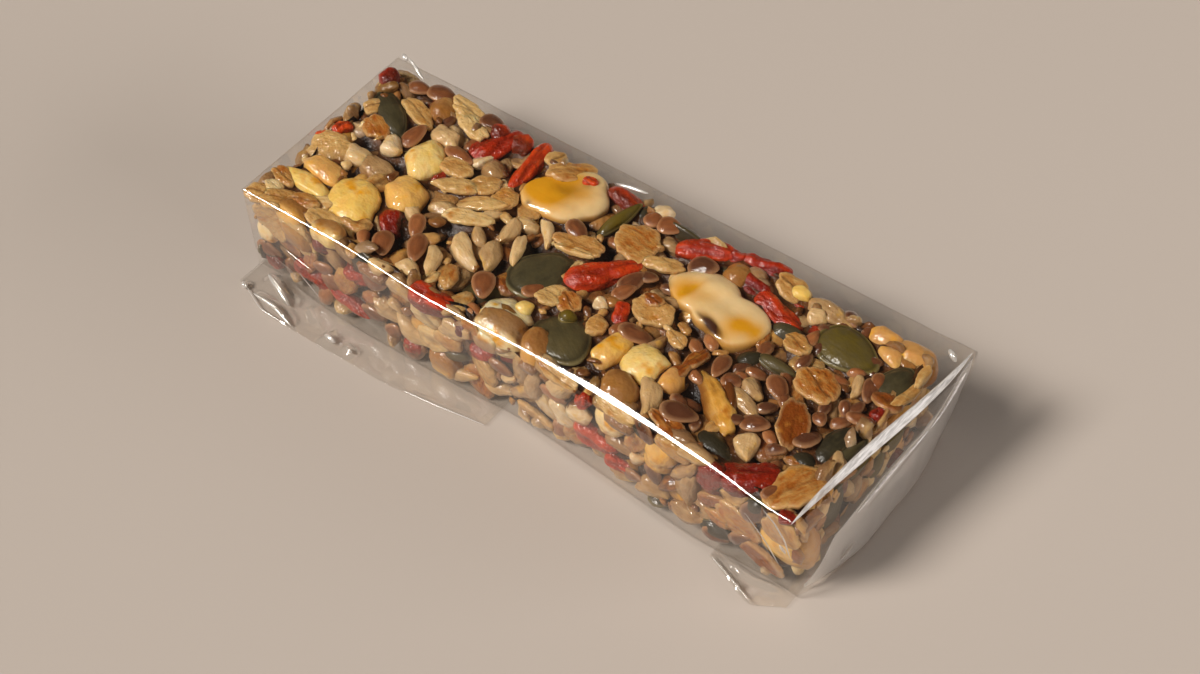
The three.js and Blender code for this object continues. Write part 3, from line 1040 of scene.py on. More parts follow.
@dataclass
class PumpkinSeeds(Pieces):
    """Hulled pumpkin seeds: flat ovals drawn to a point, with a raised edge outside a sunk line."""

    name: str = "pumpkin_seeds"
    skin: Skin = Skin(
        "pumpkin_skin",
        shades=(
            (0, 50, 44, 28), (0.25, 76, 68, 44), (0.55, 92, 80, 48), (0.8, 100, 84, 28), (1, 106, 86, 10),
        ),
        mottle=0.28, mottle_size=2.4, rim=(150, 134, 88), rim_share=0.5, line=(34, 30, 18),
        line_share=0.6, soaked_and_shaded=(52, 42, 26), rough=0.5, coat=0.55, coat_rough=0.12, fine=0.1,
        coarse=0.14, streak=0.13, streak_depth=0.075,
    )
    lattice: Ball = Ball(26, 40, True)
    plain: Ball = Ball(8, 14, True)
    thick: float = 2.6
    seed: int = 11
    usual: Four = (8, 11.5, 0.5, 0.72)
    top: Rows = (
        (-44.3, 8.8, 11.8, 4.8, -33, 0.2, 0.2), (-4.4, -3.8, 11.5, 8.6, 70, 0.2, 0.35),
        (5.6, -11.5, 11, 9, -30, 0, 0.5), (39.8, 10.3, 10.8, 7.3, -8, 0.5, 1),
        (48.8, 9, 7.5, 5.6, 84, 0.1, 0.45), (47.8, -4.2, 9.5, 4.6, 76, -0.2, 0.3),
        (-1.5, 11.5, 8.8, 2.4, 75, 0.3, 0.9), (4.1, -8.1, 3, 2.6, 20, 0.34, 0.9),
        (34, -14, 7, 4.2, -15, -0.6, 0.1), (50, -4.5, 7, 2.2, 80, -0.2, 0.6),
        (33.5, 2.4, 7, 2.2, 4, -0.2, 0.8), (0.5, 15.5, 4.5, 3, 60, -0.6, 0.2),
        (17.5, 12.7, 4, 2, 0, -0.3, 0.5), (29.5, 1.5, 5, 3, 40, -0.4, 0.15),
        (45.5, -8.8, 6, 4, -30, -0.8, 0.1),
    )
    near: Rows = (
        (24.8, 14.5, 5, 4, -40, 0, 0.1), (-28, 13.8, 6.4, 5, 20, -0.4, 0), (-10, 6.2, 5, 2.6, 10, 0, 0.55),
        (38, 3, 6, 3, 0, 0, 0.1), (44, 13.4, 4.4, 3.4, 60, 0, 0.05), (-48.5, 3.6, 5, 3, -20, 0, 0.05),
    )
    taper: float = 0.2
    groove: float = 0.3

    def form(self, ball: Array, size: Array, draws: Draws) -> Formed:
        """A flat lens, narrower towards its point: its skin sinks in a ring at 0.85 of the way out.

        Args and Returns are those of Pieces.form.
        """
        x, y, z = ball.T
        reach = np.hypot(x, y)
        length, width = size[:, :1], size[:, 1:]
        sunk = 1 - self.groove * hill(reach, 0.85, 0.05)
        points = spaced(
            length / 2 * x * (1 + 0.05 * x * np.abs(x)),
            width / 2 * y * (1 - self.taper * x - 0.06 * x * x),
            np.minimum(self.thick, width) / 2 * z * (0.66 + 0.34 * (1 - reach**2)) * sunk,
        )
        points[..., 2] += 0.2 * waves(points, 6, draws) + 0.035 * waves(points, 1.3, draws, 8)
        return points, {"rim": smooth((reach - 0.9) / 0.08), "line": hill(reach, 0.85, 0.045)}


@dataclass
class GojiBerries(Pieces):
    """Dried goji berries: blunt and plump, shrunken into lengthwise folds, with finely creased skin."""

    name: str = "goji_berries"
    skin: Skin = Skin(
        "goji_skin",
        shades=(
            (0, 136, 28, 4), (0.35, 186, 50, 10), (0.65, 213, 70, 18), (0.85, 226, 90, 28),
            (1, 229, 114, 44),
        ),
        # line: painted shade, dark red in the valleys of the folds
        mottle=0.34, mottle_size=2, line=(108, 22, 6), line_share=0.6, soaked_and_shaded=(84, 26, 12),
        rough=0.42, coat=0.9, coat_rough=0.05, depth=0.15, bleed=(1, 0.5, 0.3), fine=0.28, fine_size=0.5,
        coarse=0.3, coarse_size=0.8, streak=0.22, streak_depth=0.36, streak_size=0.8, stretch=0.5,
    )
    lattice: Ball = Ball(34, 40)
    plain: Ball = Ball(12, 14)
    thick: float = 3.6
    seed: int = 12
    usual: Four = (6, 9, 0.42, 0.58)
    top: Rows = (
        (-26.3, 13.3, 9.6, 5.2, 66, 0.3, 0.3), (-19.3, 12.6, 11.2, 3.3, -86, 0.3, 0.7),
        (12.5, 14.3, 9.4, 4, 26, 0.3, 0.6), (17.2, 16, 3.2, 2.4, 20, 0.1, 0.4),
        (21.4, 17.1, 8, 3.2, 14, 0.3, 0.4), (21.8, 13.2, 8.4, 3.8, -5, 0.3, 0.2),
        (27.8, 10.8, 9.2, 4.2, -12, 0.2, 0.7), (3.2, 1.7, 12.6, 4.8, 53, 0.6, 0.6),
        (-9.2, 14.6, 2.6, 2, 20, 0.8, 0.75), (-29, -8.8, 5.6, 4.6, -60, -0.1, 0.1),
        (-14.3, -16.4, 8.4, 4.4, 8, 0.1, 0.5), (41.3, -15.7, 8.6, 5.4, 36, 0.2, 0.3),
        (9.7, -3, 4.8, 3.2, -65, -0.1, 0.5), (-48.4, 2, 3.6, 2.6, 60, -0.1, 0.8),
        (-49.8, -1, 2.4, 1.8, 60, -0.1, 0.7), (-38, 13.9, 3.6, 2.2, -15, 0.1, 0.3),
        (49.2, -18.4, 2.6, 2.2, 30, -0.2, 0.3), (49.6, 3.3, 2.4, 2.4, 80, 0.1, 0.2),
    )
    near: Rows = (
        (-31, 4, 9, 3.2, -14, 0.1, 0.3), (-39, 4.6, 8, 3.4, -6, 0.1, 0.3), (-29, 10.6, 6, 4, 20, 0, 0.2),
        (16, 6.2, 8, 4.4, -12, 0.2, 0.7), (20.4, 3.8, 5, 2.4, -10, 0.1, 0.6),
        (36.6, 13.4, 6.4, 5, 70, 0.2, 0.2), (-5, 10, 4.4, 3.2, 0, 0.1, 0.4),
        (14, 13.5, 3.5, 2.5, 60, 0.1, 0.5), (-18.4, 2.4, 4, 3, 20, 0.1, 0.2),
    )
    fold: float = 0.17
    arch: float = 0.05
    blunt: float = 3.6

    def form(self, ball: Array, size: Array, draws: Draws) -> Formed:
        """A blunt spindle whose girth falls into valleys where a sine of the turning angle crosses zero.

        The valleys wander along the berry, and lumps of about 2 mm down to 0.7 mm are laid over them.

        Args and Returns are those of Pieces.form.
        """
        x, y, z = ball.T
        turn = np.arctan2(z, y)
        length, width = size[:, :1], size[:, 1:]
        pieces = len(size)
        girth = np.ones((pieces, len(x)))
        for folds in (3, 5):
            drift = draws.uniform(-1.2, 1.2, (pieces, 1)) * x + phases(draws, pieces)
            pace = draws.uniform(2, 5, (pieces, 1))
            wander = 0.5 * np.sin(pace * x + phases(draws, pieces))
            valley = 1 - np.abs(np.sin(folds * turn / 2 + drift + wander))
            girth = girth - self.fold * valley**1.6 * np.sqrt(np.maximum(1 - x * x, 0))
        swell = (1 - 0.14 * x) * girth * blunted(x, self.blunt)
        high = np.minimum(self.thick, width)
        points = spaced(length / 2 * x, width / 2 * y * swell, high / 2 * z * swell)
        lumps = 1 + 0.05 * waves(points, 2.4, draws, 6) + 0.05 * waves(points, 1.2, draws, 10)
        lumps += 0.03 * waves(points, 0.7, draws, 10)
        points[..., 1:] *= lumps[..., None]
        bow = draws.uniform(-self.arch, self.arch, (pieces, 1)) * length * (1 - 2 * x * x)
        points[..., 1] += bow
        # The line mark darkens the valleys of the folds: painted shade.
        return points, {"line": smooth((1 - girth) / self.fold)}


@dataclass
class Nuts(Pieces):
    """Broken peanuts and hazelnuts: lumps with a few soft broken faces."""

    name: str = "nuts"
    skin: Skin = Skin(
        "nut_flesh",
        shades=(
            (0, 214, 158, 90), (0.2, 230, 177, 100), (0.4, 242, 192, 102), (0.55, 249, 206, 106),
            (0.75, 250, 219, 148), (1, 248, 229, 192),
        ),
        mottle=0.3, mottle_size=3, patch=(236, 166, 26), patch_share=0.6, patch_size=3,
        # rim: painted shade, golden brown over the lower flanks of each nut
        rim=(188, 128, 58), rim_share=0.6, soaked_and_shaded=(144, 92, 44), soak_share=0.8, depth=0.7,
        fine=0.1, coarse=0.34, coarse_size=1.6, streak=0.16, streak_depth=0.15, streak_size=1,
        stretch=0.6,
    )
    lattice: Ball = Ball(30, 34)
    plain: Ball = Ball(9, 12)
    thick: float = 6
    seed: int = 13
    usual: Four = (5.5, 9, 0.7, 0.92)
    top: Rows = (
        (-33.4, 4.4, 8.2, 6.6, -40, 0.6, 0.7), (-31, -3, 8.4, 7.4, -12, 0.6, 0.35),
        (-36.2, -8.8, 9.6, 9, 0, 0.8, 0.55), (-44.3, -6.6, 8.4, 4.6, -6, 0.3, 0.2),
        (-44.6, -10.4, 11, 4.4, -8, 0.2, 0.6), (18.2, -8.6, 8, 7.4, 0, 0.6, 0.8),
        (12.6, -9.2, 8.4, 5.2, 80, 0.3, 0.45), (23, -8.4, 4, 6, 0, 0.1, 0.2),
        (-3.4, -13.6, 10, 8.4, 60, 0.4, 0.95), (48, 15, 7.4, 6.2, 20, 0.4, 0.15),
        (43, 15.6, 5.4, 4, 10, 0.3, 0.3), (45.5, 13.3, 5, 3, -20, 0.1, 0.4),
        (-2, -10.5, 3.4, 3, 40, 0.3, 0.7), (28.6, 15.4, 3.4, 2.8, 0, 0.2, 0.8),
    )
    near: Rows = (
        (-2, 14.6, 9.6, 6.2, 0, 0.2, 0.95), (27.2, 10.6, 8, 6, 78, 0.2, 0.55),
        (18.8, 12.2, 8.6, 6.4, 55, 0.2, 0.95), (-35, 15.4, 6, 4, 10, 0.1, 0.75),
        (-48, 8, 5, 4, 0, 0.1, 0.85), (-42, 14.6, 7, 4.4, -10, 0.1, 0.3),
    )
    cuts: int = 5
    rough: float = 0.1

    def form(self, ball: Array, size: Array, draws: Draws) -> Formed:
        """A squarish swollen ball, pushed back where it stands out past a few random planes.

        Args and Returns are those of Pieces.form.
        """
        pieces = len(size)
        points = np.repeat(ball[None], pieces, axis=0)
        power = draws.uniform(2, 2.9, (pieces, 1))
        points[..., :2] *= squared(ball[:, 0], ball[:, 1], power)[..., None]
        points = chipped(points, draws, self.cuts, (0.66, 0.96), 0.6)
        points = points * (1 + self.rough * waves(points, 2, draws))[..., None]
        points *= 1 / np.abs(points).max(axis=1, keepdims=True)
        points[..., 2] = pressed(points[..., 2], 0.8)
        deep = np.minimum(self.thick, size[:, 1:])
        points *= np.stack((size[:, 0], size[:, 1], deep[:, 0]), axis=1)[:, None, :] / 2
        lumps = 1 + 0.04 * waves(points, 2.6, draws, 6) + 0.022 * waves(points, 1.2, draws, 8)
        points *= lumps[..., None]
        # The rim mark darkens the lower flanks of each nut: painted shade.
        return points, {"rim": smooth(0.35 - points[..., 2] / deep[:, :1] * 2)}


@dataclass(frozen=True)
class Spot:
    """A soft oval spot on a nut half: its place and reach in mm, its heading in degrees and strength."""

    x: float
    y: float
    long: float
    broad: float
    heading: float = 0
    strength: float = 1

    def share(self, x: Array, y: Array) -> Array:
        """A bell over the spot that falls to 1/e at its reach.

        Args:
            x: places on the half.
            y: the same places, across.

        Returns:
            The spot's strength there.
        """
        turn = np.radians(self.heading)
        along = (x - self.x) * np.cos(turn) + (y - self.y) * np.sin(turn)
        across = (y - self.y) * np.cos(turn) - (x - self.x) * np.sin(turn)
        return self.strength * np.exp(-((along / self.long) ** 2) - (across / self.broad) ** 2)


@dataclass(frozen=True)
class Half:
    """One nut half: its outline about its own middle, and the spots of its flesh in mm.

    Raised spots lift the flesh, or sink it below zero. Golden spots are stained, scorched ones burnt.
    """

    outline: Line
    raised: tuple[Spot, ...]
    golden: tuple[Spot, ...]
    scorched: tuple[Spot, ...]

    def edge(self, turn: Array) -> Array:
        """How far the outline lies from the middle, its corners eased over a few degrees.

        Args:
            turn: the directions, in radians.

        Returns:
            How far the outline lies in each.
        """
        corners = np.array(self.outline)
        angles, reach = np.arctan2(corners[:, 1], corners[:, 0]), np.hypot(*corners.T)
        reads = [np.interp(turn + step, angles, reach, period=2 * np.pi) for step in (-0.1, 0, 0.1)]
        return sum(reads) / len(reads)


CASHEW = Half(
    outline=(
        (-8.9, 0.1), (-8.7, 1.8), (-7.7, 3.1), (-2.6, 5.7), (0.1, 5.1), (2, 3.4), (5, 3.6), (8.1, 2.3),
        (9, 0.4), (7.9, -3.4), (5.9, -5.4), (3.8, -5.5), (1.1, -4.4), (-2.5, -3), (-5.8, -2.3),
        (-7.8, -1.1),
    ),
    raised=(
        Spot(-7.3, 1.2, 1.8, 1, 60, 0.45), Spot(-5, 0, 0.8, 3, -20, -0.55), Spot(-3, 2.6, 2.4, 1.6, 0, 0.3),
        Spot(3, 0, 4.5, 1.6, -10, -0.12),
    ),
    golden=(
        Spot(5.6, -1.4, 2.4, 1.6, 10, 1.2), Spot(-4.8, -0.4, 0.7, 2.4, -20, 0.7),
        Spot(-5.6, -1, 2.6, 1.6, 0, 0.7), Spot(-5.4, 1, 2.2, 1.8, 20, 0.5), Spot(-1.6, 0, 1.8, 1.5, 0, 0.4),
        Spot(7.8, -1.4, 0.8, 2, 0, 0.5), Spot(2, -4.2, 3.2, 0.8, -22, 0.8),
        Spot(4.6, -3.6, 1.8, 1.6, 0, 0.5),
    ),
    scorched=(
        Spot(2, -4.1, 1.9, 0.62, -22, 2), Spot(-0.6, -3.4, 1, 0.3, -20, 0.5),
        Spot(-8.2, -0.6, 1, 0.5, -30, 0.5),
    ),
)
PEANUT = Half(
    outline=(
        (-7, -3.9), (-4.7, -5.6), (-2.1, -5.4), (0.2, -5.3), (2.8, -4.4), (4.4, -2.2), (5.7, -0.8),
        (6.1, 1.5), (4.4, 3.9), (2.4, 6), (0.2, 6.2), (-2.6, 4.6), (-5.6, 1), (-7.2, -1.6),
    ),
    raised=(
        Spot(-0.7, 0.8, 2, 1.5, 20, -0.8), Spot(4.2, 1, 1.2, 3.2, -30, 0.25),
        Spot(0.4, -3.6, 3.6, 1, 12, 0.25), Spot(-3.4, -1.6, 1.2, 2.2, 20, 0.2),
    ),
    golden=(
        Spot(-3.6, -2.3, 3.8, 2.5, -26, 1.3), Spot(-1.2, -0.2, 3, 2.8, 0, 0.8),
        Spot(-5.6, -0.6, 1.8, 2.6, 0, 0.9), Spot(-1.4, 2.8, 3.2, 1.8, 30, 0.7), Spot(2, 1.2, 2, 2, 0, 0.5),
    ),
    scorched=(
        Spot(-4.2, -5, 0.5, 0.4, 0, 0.7), Spot(-0.5, 1.2, 2, 1.2, 25, 0.4), Spot(1.2, 3, 0.9, 0.9, 0, 0.35),
    ),
)


@dataclass
class NutHalves(Pieces):
    """Flat nut halves, each with a shape of its own: a cashew with a waist, and half a large peanut."""

    name: str = "nut_halves"
    skin: Skin = Skin(
        "half_flesh",
        shades=(
            (0, 218, 168, 86), (0.4, 230, 192, 128), (0.7, 242, 212, 158), (1, 246, 224, 180),
        ),
        mottle=0.24, mottle_size=4.5, stain=(226, 160, 26), stain_share=1, rim=(206, 146, 56),
        rim_share=0.8, line=(70, 36, 14), line_share=1, soaked_and_shaded=(128, 80, 38), depth=0.8,
        fine=0.02, coarse=0.16, coarse_size=2.4,
    )
    lattice: Ball = Ball(48, 64, True)
    plain: Ball = Ball(8, 14, True)
    thick: float = 5.2
    seed: int = 14
    usual: Four = (10, 13, 0.6, 0.7)
    top: Rows = ((20.3, 6, 17.6, 10.4, 0, 0.65, 0.8), (-10.3, 11, 12, 14, 0, 0.45, 0.7))
    halves: tuple[Half, ...] = (CASHEW, PEANUT)
    flatness: float = 0.34

    def form(self, ball: Array, size: Array, draws: Draws) -> Formed:
        """Slabs that fill the halves' outlines, flat above with rounded edges and uneven flesh.

        Args and Returns are those of Pieces.form.
        """
        x, y, z = ball.T
        turn, reach = np.arctan2(y, x), np.hypot(x, y)
        upper = smooth(z * 2)
        points = np.zeros((len(size), len(x), 3))
        golden, scorched = np.zeros(points.shape[:2]), np.zeros(points.shape[:2])
        for number, half in enumerate(self.halves):
            edge = half.edge(turn)
            along, across = edge * reach * np.cos(turn), edge * reach * np.sin(turn)
            lift = sum(spot.share(along, across) for spot in half.raised) * upper
            points[number] = np.stack((
                along, across, self.thick / 2 * pressed(z, self.flatness) + lift,
            ), axis=1)
            golden[number] = sum(spot.share(along, across) for spot in half.golden)
            scorched[number] = sum(spot.share(along, across) for spot in half.scorched)
        points[..., 2] += 0.1 * waves(points, 5.5, draws) + 0.03 * waves(points, 1.8, draws, 8)
        side = smooth((reach - 0.93) / 0.07) * smooth((0.2 - y) / 0.5)
        return points, {"rim": side, "line": np.minimum(scorched, 1), "stain": np.minimum(golden, 1)}


@dataclass
class Kernels(Pieces):
    """Sunflower kernels: plump teardrops, ridged and a little shrunken."""

    name: str = "sunflower_kernels"
    skin: Skin = Skin(
        "kernel_skin",
        shades=(
            (0, 164, 124, 78), (0.3, 194, 158, 110), (0.55, 216, 179, 126), (0.8, 232, 197, 142),
            (1, 242, 217, 176),
        ),
        mottle=0.26, mottle_size=2.2, patch=(224, 176, 84), patch_share=0.4, patch_size=2.6,
        rim=(226, 182, 106), rim_share=0.5, line=(136, 96, 58), line_share=0.25,
        soaked_and_shaded=(120, 80, 48), depth=0.5, coarse=0.28, coarse_size=1.2, streak=0.32, streak_depth=0.21,
        streak_size=0.7, stretch=0.3,
    )
    lattice: Ball = Ball(18, 16)
    plain: Ball = Ball(7, 8)
    thick: float = 2.6
    seed: int = 15
    usual: Four = (5.6, 7.8, 0.42, 0.56)
    top: Rows = (
        (-42, -0.9, 6.4, 3.6, 0, 0.1, 0.8), (-38, -1, 7.6, 4.8, -8, 0, 0.2),
        (-18.8, -11.3, 7, 2.9, -62, 0.2, 0.7), (-15.8, -7, 8.2, 3.6, -26, 0.2, 0.8),
        (22.3, -13.3, 8.4, 3.4, -57, 0.1, 0.6), (33, -6, 7.2, 3.1, -16, 0.2, 0.5),
        (34.3, 14.8, 8, 3.4, -6, 0.1, 0.5), (-33.6, 9.9, 6.8, 4.4, -14, 0.2, 0.6),
        (-20.6, -14.6, 5.4, 2.9, -20, 0.1, 0.7), (38.2, -12, 4.8, 3.8, -72, 0.2, 0.85),
        (-12.6, -5.4, 6.4, 3.8, -60, 0.1, 0.4), (-39, 3.5, 4.6, 3.8, -20, 0.3, 0.95),
        (32.9, 13.2, 3.6, 3, 10, 0.3, 1), (33, -3.2, 4.4, 3.4, -30, 0.1, 0.5),
        (-23, 8.5, 4.3, 4, 0, 0.2, 0.1), (-13.4, 0, 5.6, 3.2, -78, 0.1, 0.5),
        (-9.9, -2.2, 6.6, 2.2, -66, 0.1, 0.8), (-8.6, 3, 6.4, 1.8, -48, 0.2, 0.9),
        (-16.2, -3.4, 5, 2.6, -30, 0, 0.4), (3.3, 16.6, 3.6, 3.2, 40, 0.3, 1),
        (6.5, -3.2, 2.6, 2.3, 0, 0.1, 1), (44.6, 5.4, 4.4, 2, -75, 0, 0.7),
        (50, -7.6, 4.6, 2.3, -70, 0, 0.6),
    )
    near: Rows = (
        (-17.6, 6, 8, 3.6, -10, 0.1, 0.7), (10, 7.1, 5.6, 4.4, -30, 0.2, 1),
        (-9.8, 12.4, 7.2, 5, 20, 0.1, 0.6), (-10, 3.1, 8.4, 3, 0, 0.1, 0.5), (-2, 4.2, 7, 3, 4, 0.1, 0.6),
        (26.4, 3, 6, 3.8, 12, 0.1, 0.45), (33, 3.4, 6.2, 3.2, -8, 0.1, 0.4),
        (10, 13, 6.4, 4.6, 50, 0.1, 0.8), (24, 8.5, 2.6, 2, 0, 0.2, 1), (0, 8, 4, 1.6, 30, 0.1, 0.7),
        (-21, 10, 3.6, 1.6, -20, 0.1, 0.6), (34, 15.8, 6, 3, 0, 0.1, 0.8), (-20, 14, 6, 4, -10, 0.1, 0.5),
        (-23, 7.4, 6, 3, -24, 0.1, 0.45),
    )
    taper: float = 0.28
    cuts: int = 4

    def form(self, ball: Array, size: Array, draws: Draws) -> Formed:
        """An egg, drawn out towards its point, flattened and chipped, with uneven lengthwise ribs.

        Args and Returns are those of Pieces.form.
        """
        ball = chipped(np.repeat(ball[None], len(size), axis=0), draws, self.cuts, (0.6, 1), 0.8)
        x, y, z = np.moveaxis(ball, 2, 0)
        length, width = size[:, :1], size[:, 1:]
        turn = np.arctan2(z, y)
        z = pressed(z, 0.8)
        phase = phases(draws, len(size))
        ribs = 0.05 * np.sin(4 * turn + phase + x) + 0.03 * np.sin(7 * turn - 2 * phase)
        girth = (1 - self.taper * x) * (1 + ribs) * 0.96
        high = np.minimum(self.thick, width)
        points = spaced(length / 2 * x, width / 2 * y * girth, high / 2 * z * girth)
        points *= (1 + 0.13 * waves(points, 3.2, draws) + 0.05 * waves(points, 1.6, draws, 8))[..., None]
        points[..., 1] += draws.uniform(-0.09, 0.09, (len(size), 1)) * length * (1 - 2 * x * x)
        return points, {"rim": smooth((x - 0.55) / 0.45), "line": np.clip(-ribs / 0.08, 0, 1)}


@dataclass
class Flakes(Pieces):
    """Rolled oats: thin flattened grains with ragged edges, some with a dark crease down the middle."""

    name: str = "oat_flakes"
    skin: Skin = Skin(
        "oat_bran",
        shades=(
            (0, 138, 70, 16), (0.15, 176, 103, 34), (0.35, 192, 140, 74), (0.6, 212, 169, 104),
            (0.8, 228, 190, 126), (1, 236, 208, 154),
        ),
        mottle=0.28, mottle_size=2, patch=(196, 132, 52), patch_share=0.45, patch_size=2.6,
        rim=(228, 194, 134), rim_share=0.5, line=(92, 52, 22), line_share=0.75,
        soaked_and_shaded=(120, 78, 44), soak_share=0.8, depth=0.4, fine=0.1, coarse=0.3, coarse_size=1,
        streak=0.32, streak_depth=0.21, streak_size=0.6, stretch=0.4,
    )
    lattice: Ball = Ball(10, 32, True)
    plain: Ball = Ball(5, 12, True)
    thick: float = 1.3
    seed: int = 16
    usual: Four = (4.6, 8, 0.5, 0.85)
    top: Rows = (
        (-46.9, -2.4, 7.4, 6, 32, 0.1, 0.6), (-34.3, 16.2, 7.6, 3.6, -8, 0.2, 0.7),
        (-32, 13.9, 8.4, 3.4, -22, 0.2, 0.8), (-35.4, -14.9, 8.8, 4.4, 2, 0.3, 0.6),
        (3.8, 9.2, 7.6, 7, 0, 0.3, 0.35), (13.2, 0, 7.2, 5.2, -16, 0.2, 0.5),
        (12.5, 1.3, 3.6, 2.1, -8, 0.55, 0.1), (40.2, 2.3, 7.6, 5.8, -26, 0.4, 0.5),
        (-13, 14.8, 7.8, 4.2, 42, 0.75, 0.4), (27.2, 15.4, 6, 4, -10, 0.3, 0.6),
        (47.6, -14, 9, 7, 66, 0.3, 0.55), (41.2, -5.4, 9, 4.6, -62, 0.2, 0.1),
        (-0.5, -6.4, 5.2, 4.8, 10, 0.2, 0.7), (2.6, -6, 4.4, 3.6, -30, 0.1, 0.3),
        (-25.4, 2.6, 7.4, 3.2, 25, 0.2, 0.65), (-20.4, 1.9, 8, 2.8, 22, 0.2, 0.7),
        (-28, 5.6, 6, 4, 0, 0.1, 0.5), (-3, 3.8, 8.2, 4.2, 6, 0.2, 0.4), (-3, 2.2, 6.4, 1.6, 10, 0.3, 0.8),
        (-19.8, -1.8, 7.8, 3.2, 22, 0.3, 0.9), (-45, -15.2, 7.6, 4.4, 25, 0.1, 0.4),
        (-42.4, -13.9, 5.4, 3.2, 20, 0.2, 0.3), (27.6, -15.7, 7.4, 3.2, -12, 0.1, 0.3),
        (-40.6, 11.3, 7.6, 3.4, -16, 0.1, 0.5), (9.4, 8, 6.4, 2.8, 20, 0.2, 0.6),
        (-22, 5.2, 4.6, 4, 30, 0, 0.5), (-18, 4.6, 4.6, 4.4, 0, 0, 0.4),
        (-16.6, 15.8, 3.4, 3.8, 80, 0.1, 0.6), (-48, -14, 3.4, 2.4, 0, 0.1, 0.9),
        (-48.2, -11.6, 5, 2.8, -10, 0.1, 0.3), (19.3, -2.4, 3.6, 2.4, -20, 0, 0.6),
        (33.6, 6.9, 5.2, 3.2, -20, 0.2, 0.6), (8.4, -7, 3.4, 3.6, 0, -0.1, 0.5),
        (23.6, -3.6, 6, 2.4, 80, 0, 0.15), (22.8, -7.6, 5, 2.4, 70, 0, 0.1),
        (51, 12.6, 5, 1.6, -85, 0, 0.8), (51, 8.2, 7.6, 1.8, 80, 0, 0.7), (-47.3, 8.2, 3.6, 3, 60, 0, 0.5),
        (-43.9, 5, 5.4, 4, -20, 0, 0.2), (-49, -16.4, 4.8, 3.4, 20, 0.1, 0.45),
    )
    near: Rows = (
        (-46, 12.6, 8.6, 7, 40, 0.1, 0.5), (-40.5, 12, 8, 6.4, -30, 0.1, 0.65),
        (9.6, 16, 8, 3, -8, 0.1, 0.7), (41.6, 8.6, 8.4, 5, -28, 0.1, 0.55),
        (48.6, 12.4, 6.6, 5.4, -50, 0.1, 0.65), (45.6, 3.6, 8, 3.4, -18, 0.1, 0.2),
        (-11, 9, 5, 3.4, 0, 0.1, 0.4), (30, 14.8, 6, 3, -20, 0.1, 0.6), (38, 6.4, 6, 3, 20, 0.1, 0.5),
        (20, 15.8, 7, 3, -10, 0.1, 0.85), (4.6, 2.6, 7, 3, -6, 0.1, 0.5),
    )
    ragged: float = 0.065
    curl: float = 0.34
    crease: float = 0.22

    def form(self, ball: Array, size: Array, draws: Draws) -> Formed:
        """A blunt disc: its outline is a circle with a few lobes, and its plane is curled by waves.

        The outline's radius is 1 plus sines of 2, 3, 5, 8 and 13 times the turning angle.

        Args and Returns are those of Pieces.form.
        """
        x, y, z = ball.T
        turn = np.arctan2(y, x)
        reach = np.hypot(x, y)
        length, width = size[:, :1], size[:, 1:]
        pieces = len(size)
        outline = np.ones((pieces, len(x)))
        for lobes, share in ((2, 0.9), (3, 1), (5, 0.7), (8, 0.6), (13, 0.4)):
            outline = outline + self.ragged * share * np.sin(lobes * turn + phases(draws, pieces))
        flat = np.sign(z) * np.abs(z) ** 0.5
        thick = self.thick * draws.uniform(0.75, 1.2, (pieces, 1))
        marked = smooth(draws.uniform(-0.6, 1.4, (pieces, 1))) * (z > 0) * smooth((0.95 - reach) / 0.15)
        fold = hill(y + 0.06 * np.sin(4 * x), 0, 0.07) * marked
        points = spaced(
            length / 2 * x * outline,
            width / 2 * y * outline,
            thick / 2 * flat - self.crease * fold * np.minimum(1, width / 5),
        )
        plan = points * np.array((1, 1, 0))
        points[..., 2] += self.curl * waves(plan, 7, draws) + 0.09 * waves(plan, 2, draws)
        points[..., 2] += draws.uniform(-0.1, 0.2, (pieces, 1)) * (points[..., 1] ** 2) / 4
        return points, {"rim": smooth((reach - 0.8) / 0.2), "line": fold}


